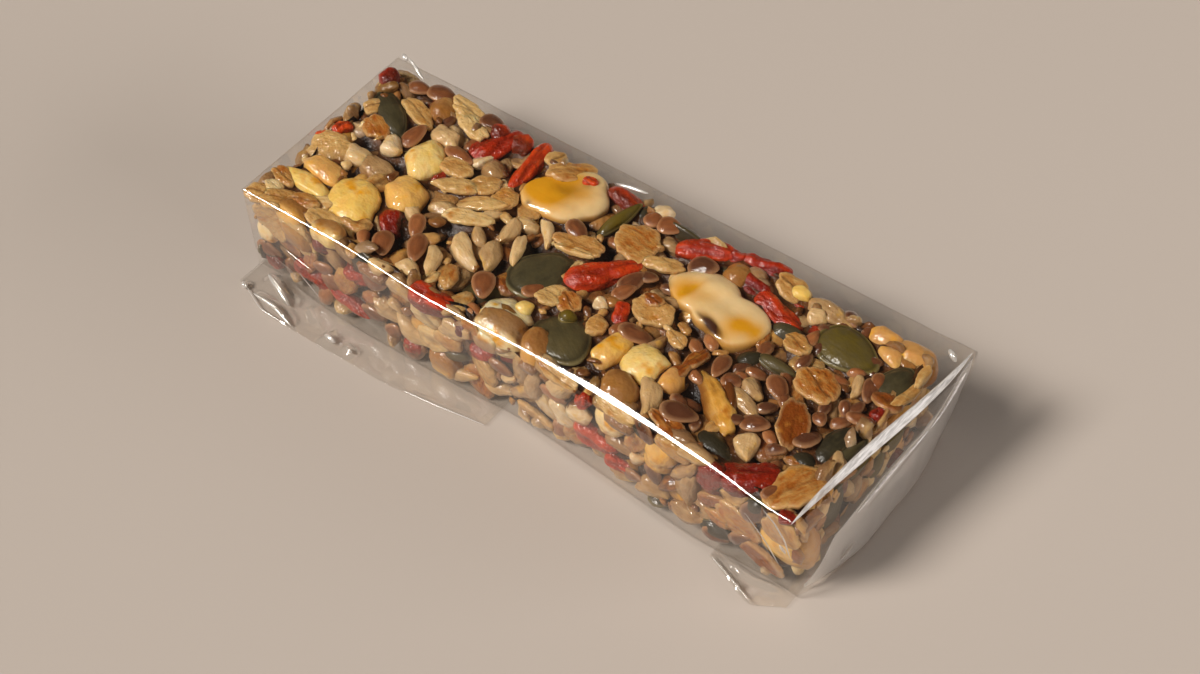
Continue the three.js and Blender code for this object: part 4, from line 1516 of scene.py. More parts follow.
@dataclass
class FlaxSeeds(Pieces):
    """Flax seeds: small flat drops with a clear swollen rim."""

    name: str = "flax_seeds"
    skin: Skin = Skin(
        "flax_hull",
        shades=(
            (0, 100, 60, 38), (0.5, 146, 88, 50), (0.8, 168, 106, 62), (1, 192, 128, 76),
        ),
        mottle=0.26, mottle_size=1.6, rim=(204, 156, 112), rim_share=0.6, line=(92, 50, 26),
        line_share=0.45, soaked_and_shaded=(92, 58, 36), soak_share=0.7, rough=0.3, depth=0.2, fine=0.1,
        coarse=0.16, streak=0.26, streak_depth=0.06, streak_size=0.5,
    )
    lattice: Ball = Ball(8, 18, True)
    plain: Ball = Ball(4, 10, True)
    thick: float = 1.5
    seed: int = 17
    usual: Four = (4.2, 5.2, 0.52, 0.62)
    top: Rows = (
        (-37.9, 7, 5.2, 3.2, 80, 0.2, 0.5), (-29.4, 7.8, 6, 2.6, -8, 0.2, 0.6),
        (-22.1, -10.9, 6, 3, -62, 0.3, 0.5), (-25, -7.5, 4.8, 2.6, -60, 0.2, 0.7),
        (-26.9, -13, 5.2, 3.4, -50, 0.2, 0.5), (2.8, 14.5, 3.4, 2.8, 90, 0.3, 0.6),
        (5.7, 14.6, 4.2, 3.2, 10, 0.4, 0.6), (-5, 5.9, 4.6, 2.9, -22, 0.3, 0.4),
        (14, -5, 5.6, 3.1, 14, 0.3, 0.3), (27.2, -2.8, 5, 2.5, -80, 0.3, 0.5),
        (36, -1.3, 4.7, 3, -36, 0.3, 0.6), (36.9, -8.3, 4.7, 3.1, 14, 0.3, 0.5),
        (27.4, -13, 5.8, 3.7, 18, 0.3, 0.1), (44.1, -6.2, 4.6, 3.6, 60, 0.2, 0),
        (48.2, 0.9, 4.4, 2.3, 18, 0.2, 0.7), (14.4, 11, 5, 3.5, 12, 0.6, 0), (7.6, 2.6, 5, 3, 70, 0.1, 0.2),
        (-2.8, -7, 4.4, 2.6, 65, 0.3, 0.5), (46.4, 6, 4.6, 2.4, -70, 0.1, 0.4),
        (-9.6, -10.6, 5, 3.6, -55, 0.1, 0.5), (-40.2, 16.6, 5.4, 3.6, 5, 0.3, 0.3),
        (-44, 15.6, 4.2, 2.8, 10, 0.2, 0.4), (-29.6, 16.2, 5, 3.2, 0, 0.2, 0.1),
        (18.4, -14, 3.4, 2.6, 0, 0.2, 0.2), (46.6, 7.8, 3.4, 2.2, -80, 0.2, 0.7),
        (45.4, 1.2, 2.8, 1.8, -60, 0.2, 0.5), (43.6, -2.4, 2.8, 2.2, -40, 0.2, 0.6),
        (30, -4, 3.4, 2.6, 0, 0.2, 0.5), (9, 4.8, 3.2, 2.4, 20, 0.1, 0.1), (7.8, 0.4, 4, 2.6, 60, 0.2, 0.6),
    )
    near: Rows = (
        (-18, 2, 4.4, 3.2, 40, 0.1, 0.2), (-25, 12.6, 5, 3.4, 20, 0.1, 0.3), (-22, 4, 4, 2.8, 60, 0.1, 0.5),
        (25, 14.8, 5, 3.4, -60, 0.1, 0.1), (44, 13, 5, 3.4, 65, 0.1, 0.1),
        (38, 2.4, 4.4, 2.8, -10, 0.1, 0.4), (-48.4, 4, 4.8, 3, -20, 0.1, 0.3),
        (-35.8, 8.6, 4.2, 3, 30, 0.1, 0.5),
    )
    taper: float = 0.28

    def form(self, ball: Array, size: Array, draws: Draws) -> Formed:
        """A small lens, narrower towards its point, with a ring sunk inside its rim.

        Args and Returns are those of Pieces.form.
        """
        x, y, z = ball.T
        reach = np.hypot(x, y)
        length, width = size[:, :1], size[:, 1:]
        sunk = 1 - 0.25 * hill(reach, 0.74, 0.1)
        points = spaced(
            length / 2 * x,
            width / 2 * y * (1 - self.taper * x),
            self.thick / 2 * z * (0.75 + 0.25 * (1 - reach**2)) * sunk,
        )
        points[..., 2] += 0.1 * waves(points, 3, draws)
        return points, {"rim": smooth((reach - 0.76) / 0.2), "line": hill(reach, 0.72, 0.09)}


@dataclass
class Shards(Pieces):
    """Long nut slivers, thick along one edge and toasted along the other."""

    name: str = "nut_shards"
    skin: Skin = Skin(
        "shard_flesh",
        shades=((0, 100, 54, 14), (0.4, 222, 162, 64), (1, 248, 212, 134)),
        mottle=0.25, mottle_size=2, patch=(190, 116, 30), patch_share=0.4, patch_size=2.4,
        rim=(130, 68, 18), rim_share=0.8, line=(120, 60, 16), line_share=0.5,
        soaked_and_shaded=(92, 50, 18), depth=0.5, fine=0.1, streak=0.26, streak_depth=0.15, streak_size=0.7,
        stretch=0.25,
    )
    lattice: Ball = Ball(26, 20)
    plain: Ball = Ball(8, 9)
    thick: float = 2.6
    seed: int = 18
    usual: Four = (5, 8, 0.3, 0.4)
    top: Rows = ((29.8, -8, 13.6, 3.4, -38, 0.4, 0.7), (31, -6.4, 9, 1.6, -42, 0.3, 0))
    twist: float = 0.5

    def form(self, ball: Array, size: Array, draws: Draws) -> Formed:
        """A wedge that turns about its own length, is bowed across it and narrows to its far tip.

        Args and Returns are those of Pieces.form.
        """
        x, y, z = ball.T
        length, width = size[:, :1], size[:, 1:]
        girth = (0.75 + 0.5 * np.sqrt(np.maximum(1 - x * x, 0))) * (1 + 0.3 * x)
        points = spaced(
            length / 2 * x,
            width / 2 * y * girth,
            self.thick / 2 * z * (1 + 0.5 * y) * girth,
        )
        points *= (1 + 0.1 * waves(points, 3, draws) + 0.04 * waves(points, 1.2, draws, 8))[..., None]
        angle = self.twist * x
        across, up = points[..., 1].copy(), points[..., 2].copy()
        points[..., 1] = across * np.cos(angle) - up * np.sin(angle) + 0.05 * length * (0.4 - x * x)
        points[..., 2] = across * np.sin(angle) + up * np.cos(angle)
        return points, {"rim": smooth((-y - 0.2) / 0.6), "line": hill(y + 0.3 * x, -0.1, 0.1)}


@dataclass
class Crumbs(Pieces):
    """Crumbs and splinters of all the rest."""

    name: str = "crumbs"
    skin: Skin = Skin(
        "crumb_flesh",
        shades=(
            (0, 112, 66, 30), (0.35, 170, 116, 58), (0.7, 208, 162, 96), (1, 242, 212, 154),
        ),
        mottle=0.3, mottle_size=1.2, soaked_and_shaded=(114, 74, 42), depth=0.3, fine=0.12, streak=0.16,
        streak_depth=0.15,
    )
    lattice: Ball = Ball(6, 8)
    plain: Ball = Ball(6, 8)
    thick: float = 1.6
    seed: int = 19
    usual: Four = (1.4, 3.6, 0.5, 0.9)

    def form(self, ball: Array, size: Array, draws: Draws) -> Formed:
        """A small uneven ball, squashed to its size.

        Args and Returns are those of Pieces.form.
        """
        points = np.repeat(ball[None], len(size), axis=0)
        points = points * (1 + 0.4 * waves(points, 1.6, draws))[..., None]
        high = np.minimum(self.thick, size[:, 1]) * draws.uniform(0.5, 0.9, len(size))
        points *= np.stack((size[:, 0], size[:, 1], high), axis=1)[:, None, :] / 2
        return points, {}


@dataclass(frozen=True)
class Filling:
    """Pieces strewn over a side wherever those already there leave room.

    low and high are the corners of the ground on the side's plan. crown holds the least and greatest
    height of a crown, scale is laid on a kind's usual size, and shares say how often a kind is thrown.
    """

    side: Side
    low: Pair
    high: Pair
    tries: int
    gap: float
    crown: Pair
    scale: float
    shares: dict[str, float]
    seed: int

    def strew(self, kinds: dict[str, Pieces], taken: list[Place]) -> None:
        """Throws pieces at the side one by one, and keeps each that lands clear of the others.

        Clear is when two middles are further apart than gap times the sum of the mean half widths.

        Args:
            kinds: the kinds of piece by name, which the kept pieces are added to.
            taken: place and mean half width of what lies there, added to as pieces are kept.
        """
        draws = np.random.default_rng(self.seed)
        names = list(self.shares)
        odds = np.array(list(self.shares.values()))
        kept: dict[str, list] = {name: [] for name in names}
        for _ in range(self.tries):
            name = names[draws.choice(len(names), p=odds / odds.sum())]
            place = draws.uniform(self.low, self.high)
            short, long, slim, broad = kinds[name].usual
            length = draws.uniform(short, long) * self.scale
            width = length * draws.uniform(slim, broad)
            reach = (length + width) / 4
            row = (*place, length, width, draws.uniform(-90, 90), draws.uniform(*self.crown), draws.uniform())
            there = np.array(taken) if taken else np.zeros((0, 3))
            apart = np.hypot(there[:, 0] - place[0], there[:, 1] - place[1])
            if np.all(apart > self.gap * (there[:, 2] + reach)):
                taken.append((*place, reach))
                kept[name].append(row)
        for name, rows in kept.items():
            if rows:
                kinds[name].strewn.append(Batch(self.side, np.array(rows), fine=False))


# The kinds by the names that the mixes use, in the order in which they are made.
ALL_KINDS = {
    "flake": Flakes, "kernel": Kernels, "flax": FlaxSeeds, "nut": Nuts, "goji": GojiBerries,
    "pumpkin": PumpkinSeeds, "half": NutHalves, "shard": Shards, "crumb": Crumbs,
}
# Mixes: how often each kind is thrown.
SMALL = {"flake": 4, "kernel": 3.6, "flax": 0.9, "shard": 0.8, "crumb": 3}
LARGE = {"nut": 3.4, "goji": 2, "pumpkin": 2, "flake": 3, "kernel": 3}
LOOSE = {"goji": 1, "pumpkin": 3, "flake": 2, "kernel": 3}
ANY = {"flake": 4.2, "kernel": 3.8, "flax": 0.7, "nut": 1.6, "goji": 0.7, "pumpkin": 0.5, "shard": 0.8}
DARK = {"flax": 4, "pumpkin": 3, "flake": 1}
SIDE_MIX = ANY | {"kernel": 2.4, "nut": 2.2, "goji": 0.2}
BITS = {"crumb": 1}
# Grounds: their low and high corners on the side's plan.
FLAT = ((-49.2, -16.8), (50.2, 15.8))
FRONT = ((-49.2, 2.2), (50, 15.2))
BACK = ((-49.4, 2.2), (49.8, 15.2))
END = ((-16, 2.2), (15.2, 15.2))
# What is strewn over each side, in order: each inner group shares the room it takes.
FILLINGS: tuple[tuple[Filling, ...], ...] = (
    (
        Filling(Side.TOP, (22, -16.8), (50.2, 15.8), 500, 0.64, (-0.7, 0), 0.75, DARK, 30),
        Filling(Side.TOP, *FLAT, 900, 0.68, (-0.8, -0.1), 0.8, SMALL, 31),
        Filling(Side.TOP, *FLAT, 240, 0.85, (-0.8, -0.1), 0.8, BITS, 32),
    ),
    (Filling(Side.TOP, *FLAT, 1500, 0.66, (-1.8, -0.9), 1, ANY, 33),),
    (
        Filling(Side.NEAR, *FRONT, 900, 0.62, (-0.6, 0.2), 1.1, SIDE_MIX, 34),
        Filling(Side.NEAR, *FRONT, 240, 0.8, (-0.5, 0.1), 0.8, BITS, 35),
    ),
    (Filling(Side.NEAR, *FRONT, 700, 0.66, (-1.6, -0.8), 1, ANY, 36),),
    (
        Filling(Side.FAR, *BACK, 200, 0.8, (0, 0.6), 1, LARGE, 37),
        Filling(Side.FAR, *BACK, 900, 0.64, (-0.4, 0.3), 0.95, ANY, 38),
        Filling(Side.FAR, *BACK, 500, 0.6, (-0.2, 0.3), 1, BITS, 39),
    ),
    (Filling(Side.FAR, *BACK, 500, 0.7, (-1.8, -1), 1, ANY, 40),),
    (
        Filling(Side.LEFT, *END, 90, 0.8, (0, 0.2), 1, LARGE, 41),
        Filling(Side.LEFT, *END, 500, 0.62, (-0.2, 0.2), 0.9, ANY, 42),
        Filling(Side.LEFT, *END, 200, 0.6, (-0.1, 0.2), 1, BITS, 43),
    ),
    (
        Filling(Side.RIGHT, (-16, 2.2), (15.2, 13), 120, 0.76, (-0.3, 0.2), 0.9, LOOSE, 44),
        Filling(Side.RIGHT, *END, 500, 0.62, (-0.5, 0.2), 0.9, ANY, 45),
        Filling(Side.RIGHT, *END, 200, 0.6, (-0.2, 0.2), 1, BITS, 46),
    ),
    (
        Filling(Side.FOOT, *FLAT, 400, 0.8, (0, 0.3), 1, LARGE, 47),
        Filling(Side.FOOT, *FLAT, 1800, 0.66, (-0.3, 0.3), 1, ANY, 48),
    ),
)


# ---- the syrup

@dataclass
class Relief:
    """How high pieces stand over one side, on a square grid of its plan."""

    side: Side
    bar: Bar
    cell: float = 0.4
    empty: float = -3.4
    most: float = 2
    margin: float = 3
    spread: int = 14
    soften: int = 2
    sunk: float = 0.15
    open_sunk: float = 0.5
    deepest: float = 0.9
    shallowest: float = 0.2

    def plan_axes(self) -> list[int]:
        """Which of X, Y and Z run along the side."""
        return [axis for axis in range(3) if axis != self.side.normal_axis]

    def heights(self, points: Array) -> Array:
        """How far points stand out of the side's plane.

        Args:
            points: (points, 3) places.

        Returns:
            Their heights.
        """
        plan = points[:, self.plan_axes()]
        plane = self.bar.on(self.side, plan[:, 0], plan[:, 1])
        return (points - plane) @ self.side.axes[2]

    def measure(self, points: Array) -> None:
        """Keeps, for each cell, the height of the highest point over it.

        Args:
            points: every point of every piece.
        """
        height = self.heights(points)
        plan = points[:, self.plan_axes()]
        self.low = plan.min(axis=0) - self.margin
        cells = np.floor((plan - self.low) / self.cell).astype(int)
        self.grid = np.full(tuple(cells.max(axis=0) + int(self.margin / self.cell)), self.empty)
        close = height > self.empty
        np.maximum.at(self.grid, tuple(cells[close].T), np.minimum(height[close], self.most))

    def syrup(self) -> None:
        """Turns the heights into the syrup's level: drawn up round pieces, and below each one's crown."""
        wide = blurred(self.grid, self.spread)
        level = np.minimum(wide - self.sunk, self.grid - self.sunk)
        level = np.maximum(level, wide - self.deepest)
        level = np.where(self.grid <= self.empty, wide - self.open_sunk, level)
        self.grid = np.clip(blurred(level, self.soften), self.empty, -self.shallowest)

    def read(self, plan: Array) -> Array:
        """The grid's value at places of the plan, between its cells by halves.

        Args:
            plan: places on the side.

        Returns:
            The heights there.
        """
        place = (plan - self.low) / self.cell - 0.5
        place = np.clip(place, 0, np.array(self.grid.shape) - 1.001)
        cell = place.astype(int)
        share = place - cell
        a, b = cell.T
        first = mix(self.grid[a, b], self.grid[a + 1, b], share[:, 0])
        second = mix(self.grid[a, b + 1], self.grid[a + 1, b + 1], share[:, 0])
        return mix(first, second, share[:, 1])


@dataclass
class SyrupBlock:
    """The syrup that holds the pieces: a block whose six faces lie just under them."""

    bar: Bar
    step: float = 0.55
    # how deep under its side the syrup starts to darken as painted shade, and over what depth
    hollow_from: float = 0.6
    hollow_over: float = 2.2
    finish: SyrupFinish = SyrupFinish()

    def build(self, points: Array) -> Shape:
        """Sets each face of a box to its relief of the pieces.

        Args:
            points: every point of every piece.

        Returns:
            The block, with how deep each point lies under its side.
        """
        bar = self.bar
        low = np.array((bar.left, bar.wrapper.near + bar.behind_near, bar.foot))
        high = np.array((bar.right, bar.far, bar.top))
        stops = tuple(np.linspace(a, b, int(np.ceil((b - a) / self.step)) + 1) for a, b in zip(low, high))
        shape = Carton(stops).shape()
        straight = shape.points.copy()
        hollow_shade = np.zeros(len(straight))
        for side in Side:
            relief = Relief(side, bar)
            relief.measure(points)
            relief.syrup()
            axis = side.normal_axis
            outward = side.axes[2][axis]
            edge = high[axis] if outward > 0 else low[axis]
            there = np.isclose(straight[:, axis], edge)
            plan = straight[there][:, relief.plan_axes()]
            level = relief.read(plan)
            plane = bar.on(side, plan[:, 0], plan[:, 1])[:, axis]
            shape.points[there, axis] = plane + outward * level
            hollow_shade[there] = np.maximum(hollow_shade[there], -level)
        shape.values = {"hollow_shade": np.clip((hollow_shade - self.hollow_from) / self.hollow_over, 0, 1)}
        return shape


# ---- the film

@dataclass(frozen=True)
class Crease:
    """A ridge or, below zero, a furrow in the film along a line through a few places."""

    line: tuple[Place, ...]
    height: float
    width: float

    def lift(self, points: Array) -> Array:
        """How far it lifts points: a bell of their distance to the line, fading at both its ends.

        Args:
            points: places on the film.

        Returns:
            How far each is lifted, in mm.
        """
        places = np.array(self.line)
        runs = np.diff(places, axis=0)
        lengths = np.linalg.norm(runs, axis=1)
        nearest = np.full(len(points), np.inf)
        along = np.zeros(len(points))
        for place, run, length, before in zip(places, runs, lengths, np.cumsum(lengths) - lengths):
            share = np.clip((points - place) @ run / length**2, 0, 1)
            distance = np.linalg.norm(points - place - share[:, None] * run, axis=1)
            closer = distance < nearest
            nearest = np.where(closer, distance, nearest)
            along = np.where(closer, before + share * length, along)
        ends = np.minimum(along, lengths.sum() - along) / (0.2 * lengths.sum())
        return self.height * hill(nearest, 0, self.width) * mix(0.15, 1, smooth(ends))


@dataclass(frozen=True)
class Fold:
    """A fine fold of film: a closed tube along a line of places, thinning out to both its ends.

    radius is its thickness halfway, blunt how soon it reaches that from an end.
    """

    line: tuple[Place, ...]
    radius: float
    blunt: float = 0.5
    rings: int = 60
    spokes: int = 10

    def shape(self) -> Shape:
        """Builds the tube round its own softened line.

        Returns:
            The tube.
        """
        ball = Ball(self.rings, self.spokes)
        unit = ball.points()
        share = np.arccos(np.clip(unit[:, 0], -1, 1)) / np.pi
        places = np.array(self.line)
        lengths = np.concatenate([[0], np.cumsum(np.linalg.norm(np.diff(places, axis=0), axis=1))])
        steps = np.linspace(0, 1, self.rings + 2)
        route = np.stack([np.interp(steps, lengths / lengths[-1], axis) for axis in places.T], axis=1)
        for _ in range(self.rings // 6):
            route[1:-1] = (route[:-2] + 2 * route[1:-1] + route[2:]) / 4
        run = np.gradient(route, axis=0)
        run /= np.linalg.norm(run, axis=1, keepdims=True)
        sideways = np.cross(run, (0, 0, 1))
        sideways /= np.linalg.norm(sideways, axis=1, keepdims=True)
        upward = np.cross(sideways, run)
        station = np.rint(share * (self.rings + 1)).astype(int)
        turned = unit[:, 1:] / np.maximum(np.hypot(unit[:, 1], unit[:, 2]), 1e-6)[:, None]
        thick = self.radius * np.sin(np.pi * share) ** self.blunt
        ring = turned[:, :1] * sideways[station] + turned[:, 1:] * upward[station]
        points = route[station] + (thick * (unit[:, 1:] ** 2).sum(axis=1).astype(bool))[:, None] * ring
        return ball.shape(points[None])


@dataclass
class Film:
    """The clear film round the bar: a closed skin on the wrapper's form, with creases, folds and a flap.

    A crease is its height, its width and a line, a fine fold its radius and a line. Lines at the loose
    end run across the bar and up, those on the near side along the bar and up. The skin sways in long
    and short waves, where a waviness is both their lengths and the short ones' share. calm_edge and
    calm_fold say how much of that is held back at an edge, and how far from it.
    """

    wrapper: Wrapper
    step: float = 0.7
    dense: tuple[float, ...] = (0.1, 0.22, 0.36, 0.54, 0.78, 1.1, 1.5, 2, 2.6, 3.3, 4.1)
    slack: float = 0.1
    slack_shares: Pair = (0.7, 1.5)
    loose_over: float = 6
    waviness: Waves = (16, 6, 0.5)
    calm_edge: Pair = (0.97, 5)
    calm_fold: Pair = (0.8, 2.5)
    calm_foot: float = 1.5
    highest: float = 17.95
    furthest: float = 55.75
    give: float = 0.1
    seed: int = 71
    # A whitish haze on the fine folds: the creased film's own scatter, with painted highlight that widens
    # their glints.
    fold_finish: FilmFinish = FilmFinish(
        "film_folds_and_highlights", straight=0.2, rough=0.16, haze=0.42, cloud=(0.85, 0.81, 0.76),
    )
    finish: FilmFinish = FilmFinish()
    flap_finish: FilmFinish = FilmFinish(
        "flap_film", straight=0.1, slant_power=2.4, rough=0.28, haze=0.19, cloud=(0.84, 0.81, 0.79),
    )
    # A near-white haze on the loose end's fold and crease lines: painted highlight over the bunched film's
    # own scatter.
    roll_highlight_finish: FilmFinish = FilmFinish(
        "roll_film_highlight", straight=0.2, rough=0.25, haze=0.95, cloud=(0.95, 0.92, 0.91), streaks=0.45,
    )
    roll_radius: float = 0.78
    roll_inset: Pair = (1, 0.95)
    roll_margin: float = 0.4
    flap_foot: float = 0.5
    flap_ease: float = 0.3
    flap_rows: int = 24
    flap_waviness: Waves = (9, 3, 0.4)
    flap_sway: float = 0.12
    flap_inset: float = 0.6
    flap_thick: float = 0.1
    flap_seed: int = 72
    flap_edge: Line = (
        (-17.6, 1.2), (-15, 5.4), (-12.5, 8.6), (-8, 10.1), (0.7, 11.9), (7.3, 12.7), (10.9, 13.9),
        (15, 16), (18.9, 17),
    )
    end_folds: tuple[tuple[float, float, Line], ...] = (
        (0.3, 0.8, ((-9, 9.8), (0.7, 11.9), (7.3, 12.7))),
        (0.3, 0.8, ((7.6, 12.6), (10.9, 13.9), (16.5, 16.4))),
        (0.35, 0.4, ((-18.6, 16), (-17, 9), (-15, 2.6), (-11, 1.2))),
        (0.3, 0.35, ((-18.8, 11.4), (-13.4, 6), (-11.5, 2))),
    )
    near_folds: tuple[tuple[float, float, Line], ...] = (
        (0.2, 0.8, ((46.6, 16.2), (48.4, 15.2), (50, 12.8), (51.2, 8.6))),
        (0.3, 0.3, ((43, 14), (49.2, 7), (51.4, 2.2))), (0.25, 0.3, ((47.4, 9.4), (50, 3))),
        (0.25, 0.3, ((39, 8.6), (46, 1.8))), (0.3, 0.4, ((-46.5, 5.4), (-39.9, 4.8))),
        (0.3, 0.4, ((-43, 8.8), (-37.3, 8.1))), (0.3, 0.4, ((-40.4, 5.4), (-36.1, 2.7))),
        (0.25, 0.35, ((-32.6, 3), (-30, 1.4))), (0.2, 0.35, ((-27.5, 6), (-22.5, 3.6))),
        (0.15, 0.35, ((-12, 8), (-4, 3.2))), (0.15, 0.35, ((6, 11), (12, 6.2))),
        (0.15, 0.35, ((22, 9), (30, 2.6))),
    )
    top_lines: tuple[Fold, ...] = (
        Fold(((51.9, 17.7, 17.6), (53.7, 16.7, 17)), 0.5),
        Fold(((-50.3, 18.9, 17.5), (-48.9, 18.4, 17.1)), 0.5),
        Fold(((-49, 18.8, 17.5), (-47.2, 18.2, 17.05), (-44.4, 17.1, 16.3)), 0.34),
        Fold(((-5.8, 16.4, 17), (-3.4, 16.8, 17.25), (-0.2, 17.1, 17.6)), 0.4),
    )
    crest_lines: tuple[tuple[float, Line], ...] = (
        (0.3, ((-9, 9.9), (0.7, 11.9), (7.3, 12.7))), (0.24, ((7.6, 12.6), (10.9, 13.9), (16.5, 16.4))),
    )
    end_lines: tuple[tuple[float, Line], ...] = (
        (0.2, ((-12.5, 3), (-9.3, 4.6))),
    )
    near_lines: tuple[tuple[float, Line], ...] = (
        (0.14, ((46.3, 16.9), (48.2, 15.4), (50, 12.8), (51, 9.4))), (0.24, ((49.2, 11), (50.3, 9.9))),
        (0.1, ((43.4, 13.4), (47, 9.8), (49.2, 6.2))), (0.1, ((-43, 8.8), (-37.3, 8.1))),
        (0.1, ((-40.4, 5.4), (-36.1, 2.7))),
    )

    def stops(self, low: float, high: float) -> Array:
        """Stops from low to high, close together near both ends.

        Args:
            low: the first stop.
            high: the last stop.

        Returns:
            The stops in rising order.
        """
        near = np.array(self.dense)
        inner = np.linspace(low + near[-1], high - near[-1], int((high - low) / self.step))
        return np.concatenate([[low], low + near[:-1], inner, (high - near[:-1])[::-1], [high]])

    def creases(self) -> list[Crease]:
        """Every crease, with those of the two upright sides laid onto the wrapper's form.

        Returns:
            The creases.
        """
        wrapper = self.wrapper
        ends = [Crease(wrapper.on_end(line), *size) for *size, line in self.end_folds]
        sides = [Crease(wrapper.on_near(line), *size) for *size, line in self.near_folds]
        return ends + sides

    def build(self) -> Shape:
        """Rounds, bends and creases the skin, keeping it calm along its near upper edge and its fold.

        Returns:
            The skin.
        """
        wrapper = self.wrapper
        shape = Carton((
            self.stops(wrapper.left, wrapper.right),
            self.stops(wrapper.near, wrapper.far),
            self.stops(0, wrapper.height),
        )).shape()
        edge_below = wrapper.height - shape.points[:, 2]
        edge = np.hypot(shape.points[:, 1] - wrapper.near, edge_below)
        shape.points = wrapper.bend(wrapper.rounded(shape.points))
        sway = ripples(shape.points, *self.waviness, np.random.default_rng(self.seed))
        loose = smooth((shape.points[:, 0] - wrapper.loose_from) / self.loose_over)
        fold = np.hypot(shape.points[:, 0] - wrapper.end_at(shape.points[:, 1], wrapper.height), edge_below)
        calm = 1
        for distance, (held, reach) in ((edge, self.calm_edge), (fold, self.calm_fold)):
            calm = calm * (1 - held * hill(distance, 0, reach))
        lift = self.slack * mix(*self.slack_shares, loose) * calm * sway
        for crease in self.creases():
            lift = lift + crease.lift(shape.points)
        above = smooth(shape.points[:, 2] / self.calm_foot)
        shape.points += shape.normals() * (lift * above)[:, None]
        for axis, limit in ((0, self.furthest), (2, self.highest)):
            over = np.maximum(shape.points[:, axis] - limit, 0)
            shape.points[:, axis] += self.give * np.tanh(over / self.give) - over
        return shape

    def lines(self) -> Shape:
        """The fine folds that catch the light, laid onto the wrapper's form.

        Returns:
            All of them as one shape.
        """
        wrapper = self.wrapper
        ends = [Fold(wrapper.on_end(line), radius) for radius, line in self.end_lines]
        sides = [Fold(wrapper.on_near(line), radius) for radius, line in self.near_lines]
        return Shape.joined([fold.shape() for fold in (*self.top_lines, *ends, *sides)])

    def roll(self) -> Shape:
        """The film bunched along the loose end's top fold and along its flap's edge, just inside the skin.

        Returns:
            Both as one shape.
        """
        wrapper = self.wrapper
        across = np.linspace(wrapper.near + self.roll_margin, wrapper.far - self.roll_margin, 40)
        line = np.stack(np.broadcast_arrays(
            wrapper.right - self.roll_inset[0], across, wrapper.height - self.roll_inset[1],
        ), axis=1)
        # The roll and the crest lines take the near-white haze of painted highlight.
        roll = Fold(tuple(map(tuple, wrapper.bend(line))), self.roll_radius, 0.7, 160, 14)
        crests = [Fold(wrapper.on_end(crest), radius) for radius, crest in self.crest_lines]
        return Shape.joined([fold.shape() for fold in (roll, *crests)])

    def flap(self) -> Shape:
        """The loose end's lower flap: a thin sheet just behind its panel, up to its slanting edge.

        Returns:
            The sheet.
        """
        low, high = self.flap_edge[0][0], self.flap_edge[-1][0]
        across = np.linspace(0, 1, int((high - low) / self.step) + 1)
        shape = Carton((np.array((0, 1)), across, np.linspace(0, 1, self.flap_rows))).shape()
        skin, u, v = shape.points.T
        y = mix(low, high, u)
        z = mix(self.flap_foot, through(y, self.flap_edge, self.flap_ease), v)
        shape.points = np.stack((self.wrapper.end_at(y, z), y, z), axis=1)
        sway = ripples(shape.points, *self.flap_waviness, np.random.default_rng(self.flap_seed))
        shape.points[:, 0] += self.flap_sway * sway - self.flap_inset + self.flap_thick * skin
        return shape


@dataclass(frozen=True)
class Tuck:
    """One corner of the film, folded flat on the table: its place along the bar and its reach from it."""

    name: str
    side: int
    start: float
    end: float
    reach: tuple[float, ...]
    creases: tuple[Crease, ...] = ()


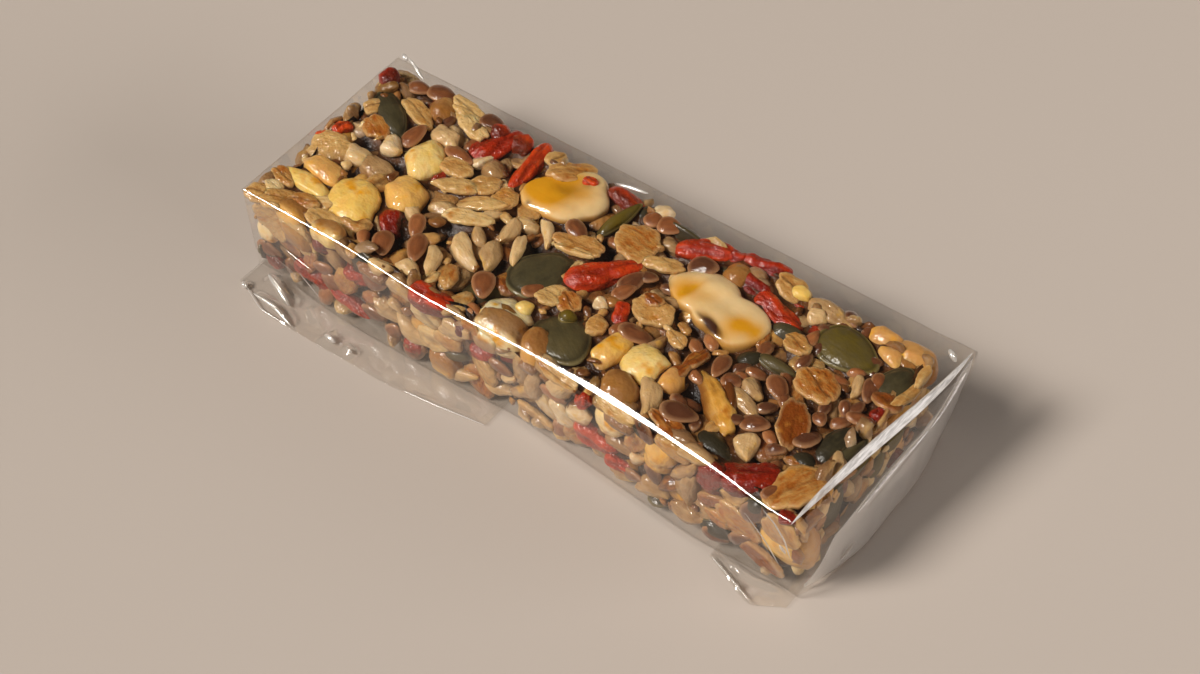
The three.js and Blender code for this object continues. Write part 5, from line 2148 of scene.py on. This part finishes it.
@dataclass
class Tucks:
    """The flaps of film that spread from under the bar at its four corners.

    hem is the share of a flap's width after which its edge starts, close enough to keep the edge crisp.
    fades are the shares of its width and length over which its loft fades in: from under the bar, from
    its outer edge, and from its two ends.
    """

    wrapper: Wrapper
    lap: float = 3
    thick: float = 0.08
    loft: float = 0.06
    slope: float = 0.03
    hem: float = 0.003
    step: float = 0.4
    clear: float = 0.04
    fades: Four = (0.2, 0.06, 0.02, 0.04)
    flat_share: float = 0.1
    edge_ease: float = 0.05
    seed: int = 80
    finish: FilmFinish = FilmFinish("folded_film", straight=0.05)
    flaps: tuple[Tuck, ...] = (
        Tuck(
            "tuck_near_left", -1, -50.6, -1.5, (21.8, 24.9, 24.9, 24.6, 24.5, 23, 21.3),
            (
                Crease(((-49.9, -22, 0), (-48.8, -23, 0)), 1.1, 0.7),
                Crease(((-47.6, -18.6, 0), (-43.9, -20.2, 0), (-40, -21.6, 0)), 1.6, 1.3),
                Crease(((-46.9, -22.8, 0), (-41.9, -23.1, 0), (-37.6, -24.4, 0)), 1.2, 0.8),
                Crease(((-32.4, -22.4, 0), (-30, -23.2, 0)), 0.7, 1.2),
                Crease(((-28.4, -22.5, 0), (-26, -23.1, 0)), 0.9, 0.7),
                Crease(((-15.6, -23.7, 0), (-9, -22.8, 0), (-2.2, -21.5, 0)), 0.35, 0.35),
                Crease(((-38, -19.6, 0), (-35, -21.6, 0)), 0.4, 0.7),
            ),
        ),
        Tuck(
            "tuck_near_right", -1, 38.4, 52, (20.8, 22.7, 24.5, 21.6),
            (
                Crease(((38.6, -20.8, 0), (43.8, -22.6, 0)), 0.7, 0.45),
                Crease(((44.1, -22.6, 0), (45, -23.2, 0)), 0.8, 0.6),
                Crease(((45.2, -23.2, 0), (47.6, -24, 0)), 0.35, 0.35),
                Crease(((40, -20.2, 0), (45.7, -20.6, 0), (50.3, -19.6, 0)), 0.5, 0.5),
            ),
        ),
        Tuck("tuck_far_left", 1, -50.6, -12, (21.9, 24.6, 24.9, 24.2, 22.8, 21.4)),
        Tuck("tuck_far_right", 1, 39.5, 52, (21.4, 23.4, 24.3, 21.8)),
    )
    lines: tuple[Fold, ...] = (
        Fold(((-49.7, -22.3, 0.6), (-48.5, -22.9, 0.5)), 0.5),
        Fold(((-46.8, -19.4, 1.7), (-43.9, -20.3, 1.15), (-40.6, -21.6, 0.4)), 0.55),
        Fold(((-46.6, -23.2, 0.8), (-42.2, -23.3, 0.8), (-37.6, -24.4, 0.3)), 0.42),
        Fold(((-32.2, -22.7, 0.6), (-29.8, -23, 0.5)), 0.5),
        Fold(((-27.8, -22.8, 0.45), (-26.4, -22.9, 0.45)), 0.3),
        Fold(((-15.6, -23.9, 0.3), (-9, -23, 0.3), (-1.6, -21.7, 0.3)), 0.12),
        Fold(((38.8, -20.9, 0.4), (43.8, -22.6, 0.4), (47.4, -23.9, 0.4)), 0.16),
        Fold(((44.2, -22.7, 0.5), (45.2, -23.2, 0.5)), 0.3),
        Fold(((-50.2, -21.9, 0.3), (-44, -24.6, 0.3), (-38, -24.75, 0.3)), 0.1),
    )

    def folds(self) -> Shape:
        """The fine folds in the two near tucks that catch the light."""
        return Shape.joined([fold.shape() for fold in self.lines])

    def build(self, flap: Tuck, seed: int) -> Shape:
        """A thin closed sheet from under the bar to its own edge, wavy, creased and rising outwards.

        Args:
            flap: the corner that is folded.
            seed: the source of its waves.

        Returns:
            The sheet.
        """
        span = flap.end - flap.start
        outward = max(flap.reach) - abs(self.wrapper.near) + self.lap
        along, out = (
            np.sort(np.append(np.linspace(0, 1, int(reach / self.step) + 1), (self.hem, 1 - self.hem)))
            for reach in (span, outward)
        )
        shape = Carton((along, out, np.array((0, 1)))).shape()
        u, v, w = shape.points.T
        v = v if flap.side > 0 else 1 - v
        edges = tuple(zip(np.linspace(0, 1, len(flap.reach)), flap.reach))
        y = flap.side * mix(abs(self.wrapper.near) - self.lap, through(u, edges, self.edge_ease), v)
        plan = np.stack((mix(flap.start, flap.end, u), y, np.zeros_like(u)), axis=1)
        draws = np.random.default_rng(seed)
        sway = 0.5 + 0.5 * waves(plan[None], 7, draws)[0] + 0.3 * waves(plan[None], 2.6, draws)[0]
        root, rim, start, end = self.fades
        border = smooth(v / root) * smooth((1 - v) / rim) * smooth(u / start) * smooth((1 - u) / end)
        lift = self.loft * np.maximum(sway, 0)
        for crease in flap.creases:
            lift = lift + crease.lift(plan)
        rise = self.slope * np.maximum(np.abs(y) - abs(self.wrapper.near), 0)
        shape.points = plan
        loft = lift * mix(self.flat_share, 1, border)
        shape.points[:, 2] = self.clear + rise + loft + w * self.thick
        return shape


# ---- the whole

@dataclass
class Pack:
    """The wrapped bar: its pieces, syrup and film, placed in the frame."""

    wrapper: Wrapper = Wrapper()
    end_reach: float = 55.916  # from the bar's middle to the swell of its loose end

    def __post_init__(self) -> None:
        """Finds the bar's middle: end_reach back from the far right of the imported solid."""
        low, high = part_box(NODE)
        self.middle = Vector((high.x - self.end_reach * MILLIMETRE, (low.y + high.y) / 2, low.z))

    def build(self) -> None:
        """Makes every piece of the object."""
        bar = Bar(self.wrapper)
        kinds = {name: make() for name, make in ALL_KINDS.items()}
        taken: dict[Side, list] = {side: [] for side in Side}
        for kind in kinds.values():
            for batch in kind.placed():
                reach = batch.rows[:, 2:4].sum(axis=1) / 4
                taken[batch.side] += [(*row[:2], r) for row, r in zip(batch.rows, reach)]
        fresh = dict(taken)
        for group in FILLINGS:
            side = group[0].side
            room = fresh.pop(side, [])
            for filling in group:
                filling.strew(kinds, room)
        shapes = {kind.name: kind.build(bar) for kind in kinds.values()}
        syrup = SyrupBlock(bar)
        block = syrup.build(np.concatenate([shape.points for shape in shapes.values()]))
        for kind in kinds.values():
            shapes[kind.name].make(kind.name, kind.skin.material(), self.middle)
        block.make("syrup", syrup.finish.material(), self.middle)
        self.wrap()

    def wrap(self) -> None:
        """Makes the film, its flap and roll, the tucks and the fine folds."""
        film = Film(self.wrapper)
        film.build().make("film", film.finish.material(), self.middle, mirrored=False)
        film.flap().make("end_flap", film.flap_finish.material(), self.middle, mirrored=False)
        film.roll().make("end_roll_highlight", film.roll_highlight_finish.material(), self.middle, mirrored=False)
        tucks = Tucks(self.wrapper)
        folded = tucks.finish.material()
        for number, flap in enumerate(tucks.flaps):
            tucks.build(flap, tucks.seed + number).make(flap.name, folded, self.middle, mirrored=False)
        lines = Shape.joined([film.lines(), tucks.folds()])
        lines.make("film_folds_and_highlights", film.fold_finish.material(), self.middle, mirrored=False)


@dataclass(frozen=True)
class Lamp:
    """An area light that faces the bar.

    direction runs from the bar to the lamp, distance and size are in metres, and glow is the light
    that a square metre of it sends straight ahead.
    """

    name: str
    direction: Place
    distance: float
    size: Pair
    glow: float
    colour: Colour = (1, 0.95, 0.89)
    round: bool = False
    mirrored: bool = True

    def hang(self) -> None:
        """Adds the lamp to the scene. Glossy surfaces don't show it where it isn't mirrored."""
        lamp = bpy.data.lights.new(self.name, "AREA")
        lamp.shape = "DISK" if self.round else "RECTANGLE"
        lamp.size, lamp.size_y = self.size
        area = self.size[0] * self.size[1] * (np.pi / 4 if self.round else 1)
        lamp.energy = self.glow * np.pi * area
        lamp.color = self.colour
        holder = bpy.data.objects.new(self.name, lamp)
        place = Vector(self.direction).normalized() * self.distance
        holder.location = place
        holder.rotation_euler = place.to_track_quat("Z", "Y").to_euler()
        holder.visible_glossy = self.mirrored
        bpy.context.scene.collection.objects.link(holder)


@dataclass(frozen=True)
class Studio:
    """A pale floor, the lamps and the camera."""

    floor_size: float = 6
    floor_drop: float = 0.0002
    floor_colour: Colour = (0.485, 0.423, 0.373)
    lamps: tuple[Lamp, ...] = (
        Lamp("key", (-0.44, -0.58, 0.685), 6, (2, 2), 44, round=True),
        Lamp("fill", (0.15, -0.82, 0.55), 5, (3.3, 2.5), 0.8),
        Lamp("side", (0.92, 0.28, 0.26), 1.2, (1.1, 0.35), 9.5, (1, 0.96, 0.93), mirrored=False),
    )
    ambient: Colour = (0.03, 0.028, 0.026)
    azimuth: float = 38.73
    elevation: float = 49.713
    roll: float = -1.856
    distance: float = 332.964
    aim: Place = (1.708, 2.073, 0)
    lens: float = 65.63
    sensor: float = 36
    nearest: float = 0.01

    def floor(self) -> None:
        """Lays the floor just under the object."""
        half = self.floor_size / 2
        mesh = bpy.data.meshes.new("floor")
        corners = [(x * half, y * half, -self.floor_drop) for x, y in ((-1, -1), (1, -1), (1, 1), (-1, 1))]
        mesh.from_pydata(corners, [], [(0, 1, 2, 3)])
        graph = Graph("floor")
        mesh.materials.append(graph.finish(graph.node("BsdfPrincipled", {
            "Base Color": (*self.floor_colour, 1), "Roughness": 0.75, "Specular IOR Level": 0.2,
        })))
        floor = bpy.data.objects.new("floor", mesh)
        bpy.context.scene.collection.objects.link(floor)

    def lights(self) -> None:
        """Hangs the lamps and gives the room its own faint light."""
        for lamp in self.lamps:
            lamp.hang()
        world = bpy.data.worlds.new("room")
        world.use_nodes = True
        world.node_tree.nodes["Background"].inputs["Color"].default_value = (*self.ambient, 1)
        bpy.context.scene.world = world

    def camera(self, middle: Vector) -> None:
        """Aims the camera from its azimuth and elevation, then rolls it about its own line of sight.

        Args:
            middle: where the bar's own middle lies in the frame.
        """
        turn, rise, roll = np.radians((self.azimuth, self.elevation, self.roll))
        back = np.array((np.sin(turn) * np.cos(rise), -np.cos(turn) * np.cos(rise), np.sin(rise)))
        right = np.array((np.cos(turn), np.sin(turn), 0))
        up = np.cross(back, right)
        rolled = right * np.cos(roll) + up * np.sin(roll)
        raised = up * np.cos(roll) - right * np.sin(roll)
        place = (np.array(self.aim) + back * self.distance) * MILLIMETRE + np.array(middle)
        data = bpy.data.cameras.new("camera")
        data.lens, data.sensor_width = self.lens, self.sensor
        data.clip_start = self.nearest
        holder = bpy.data.objects.new("camera", data)
        rows = [(*axes, across) for axes, across in zip(zip(rolled, raised, back), place)]
        holder.matrix_world = Matrix(rows + [(0, 0, 0, 1)])
        bpy.context.scene.collection.objects.link(holder)
        bpy.context.scene.camera = holder

    def build(self, middle: Vector) -> None:
        """Sets up floor, lights and camera.

        Args:
            middle: where the bar's own middle lies in the frame.
        """
        self.floor()
        self.lights()
        self.camera(middle)
        bpy.context.scene.view_settings.view_transform = "Standard"


def main() -> None:
    """Builds the wrapped bar and its studio."""
    logging.basicConfig(level=logging.INFO, format="%(name)s: %(message)s")
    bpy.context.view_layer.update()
    pack = Pack()
    pack.build()
    Studio().build(pack.middle)


if __name__ == "__main__":
    main()
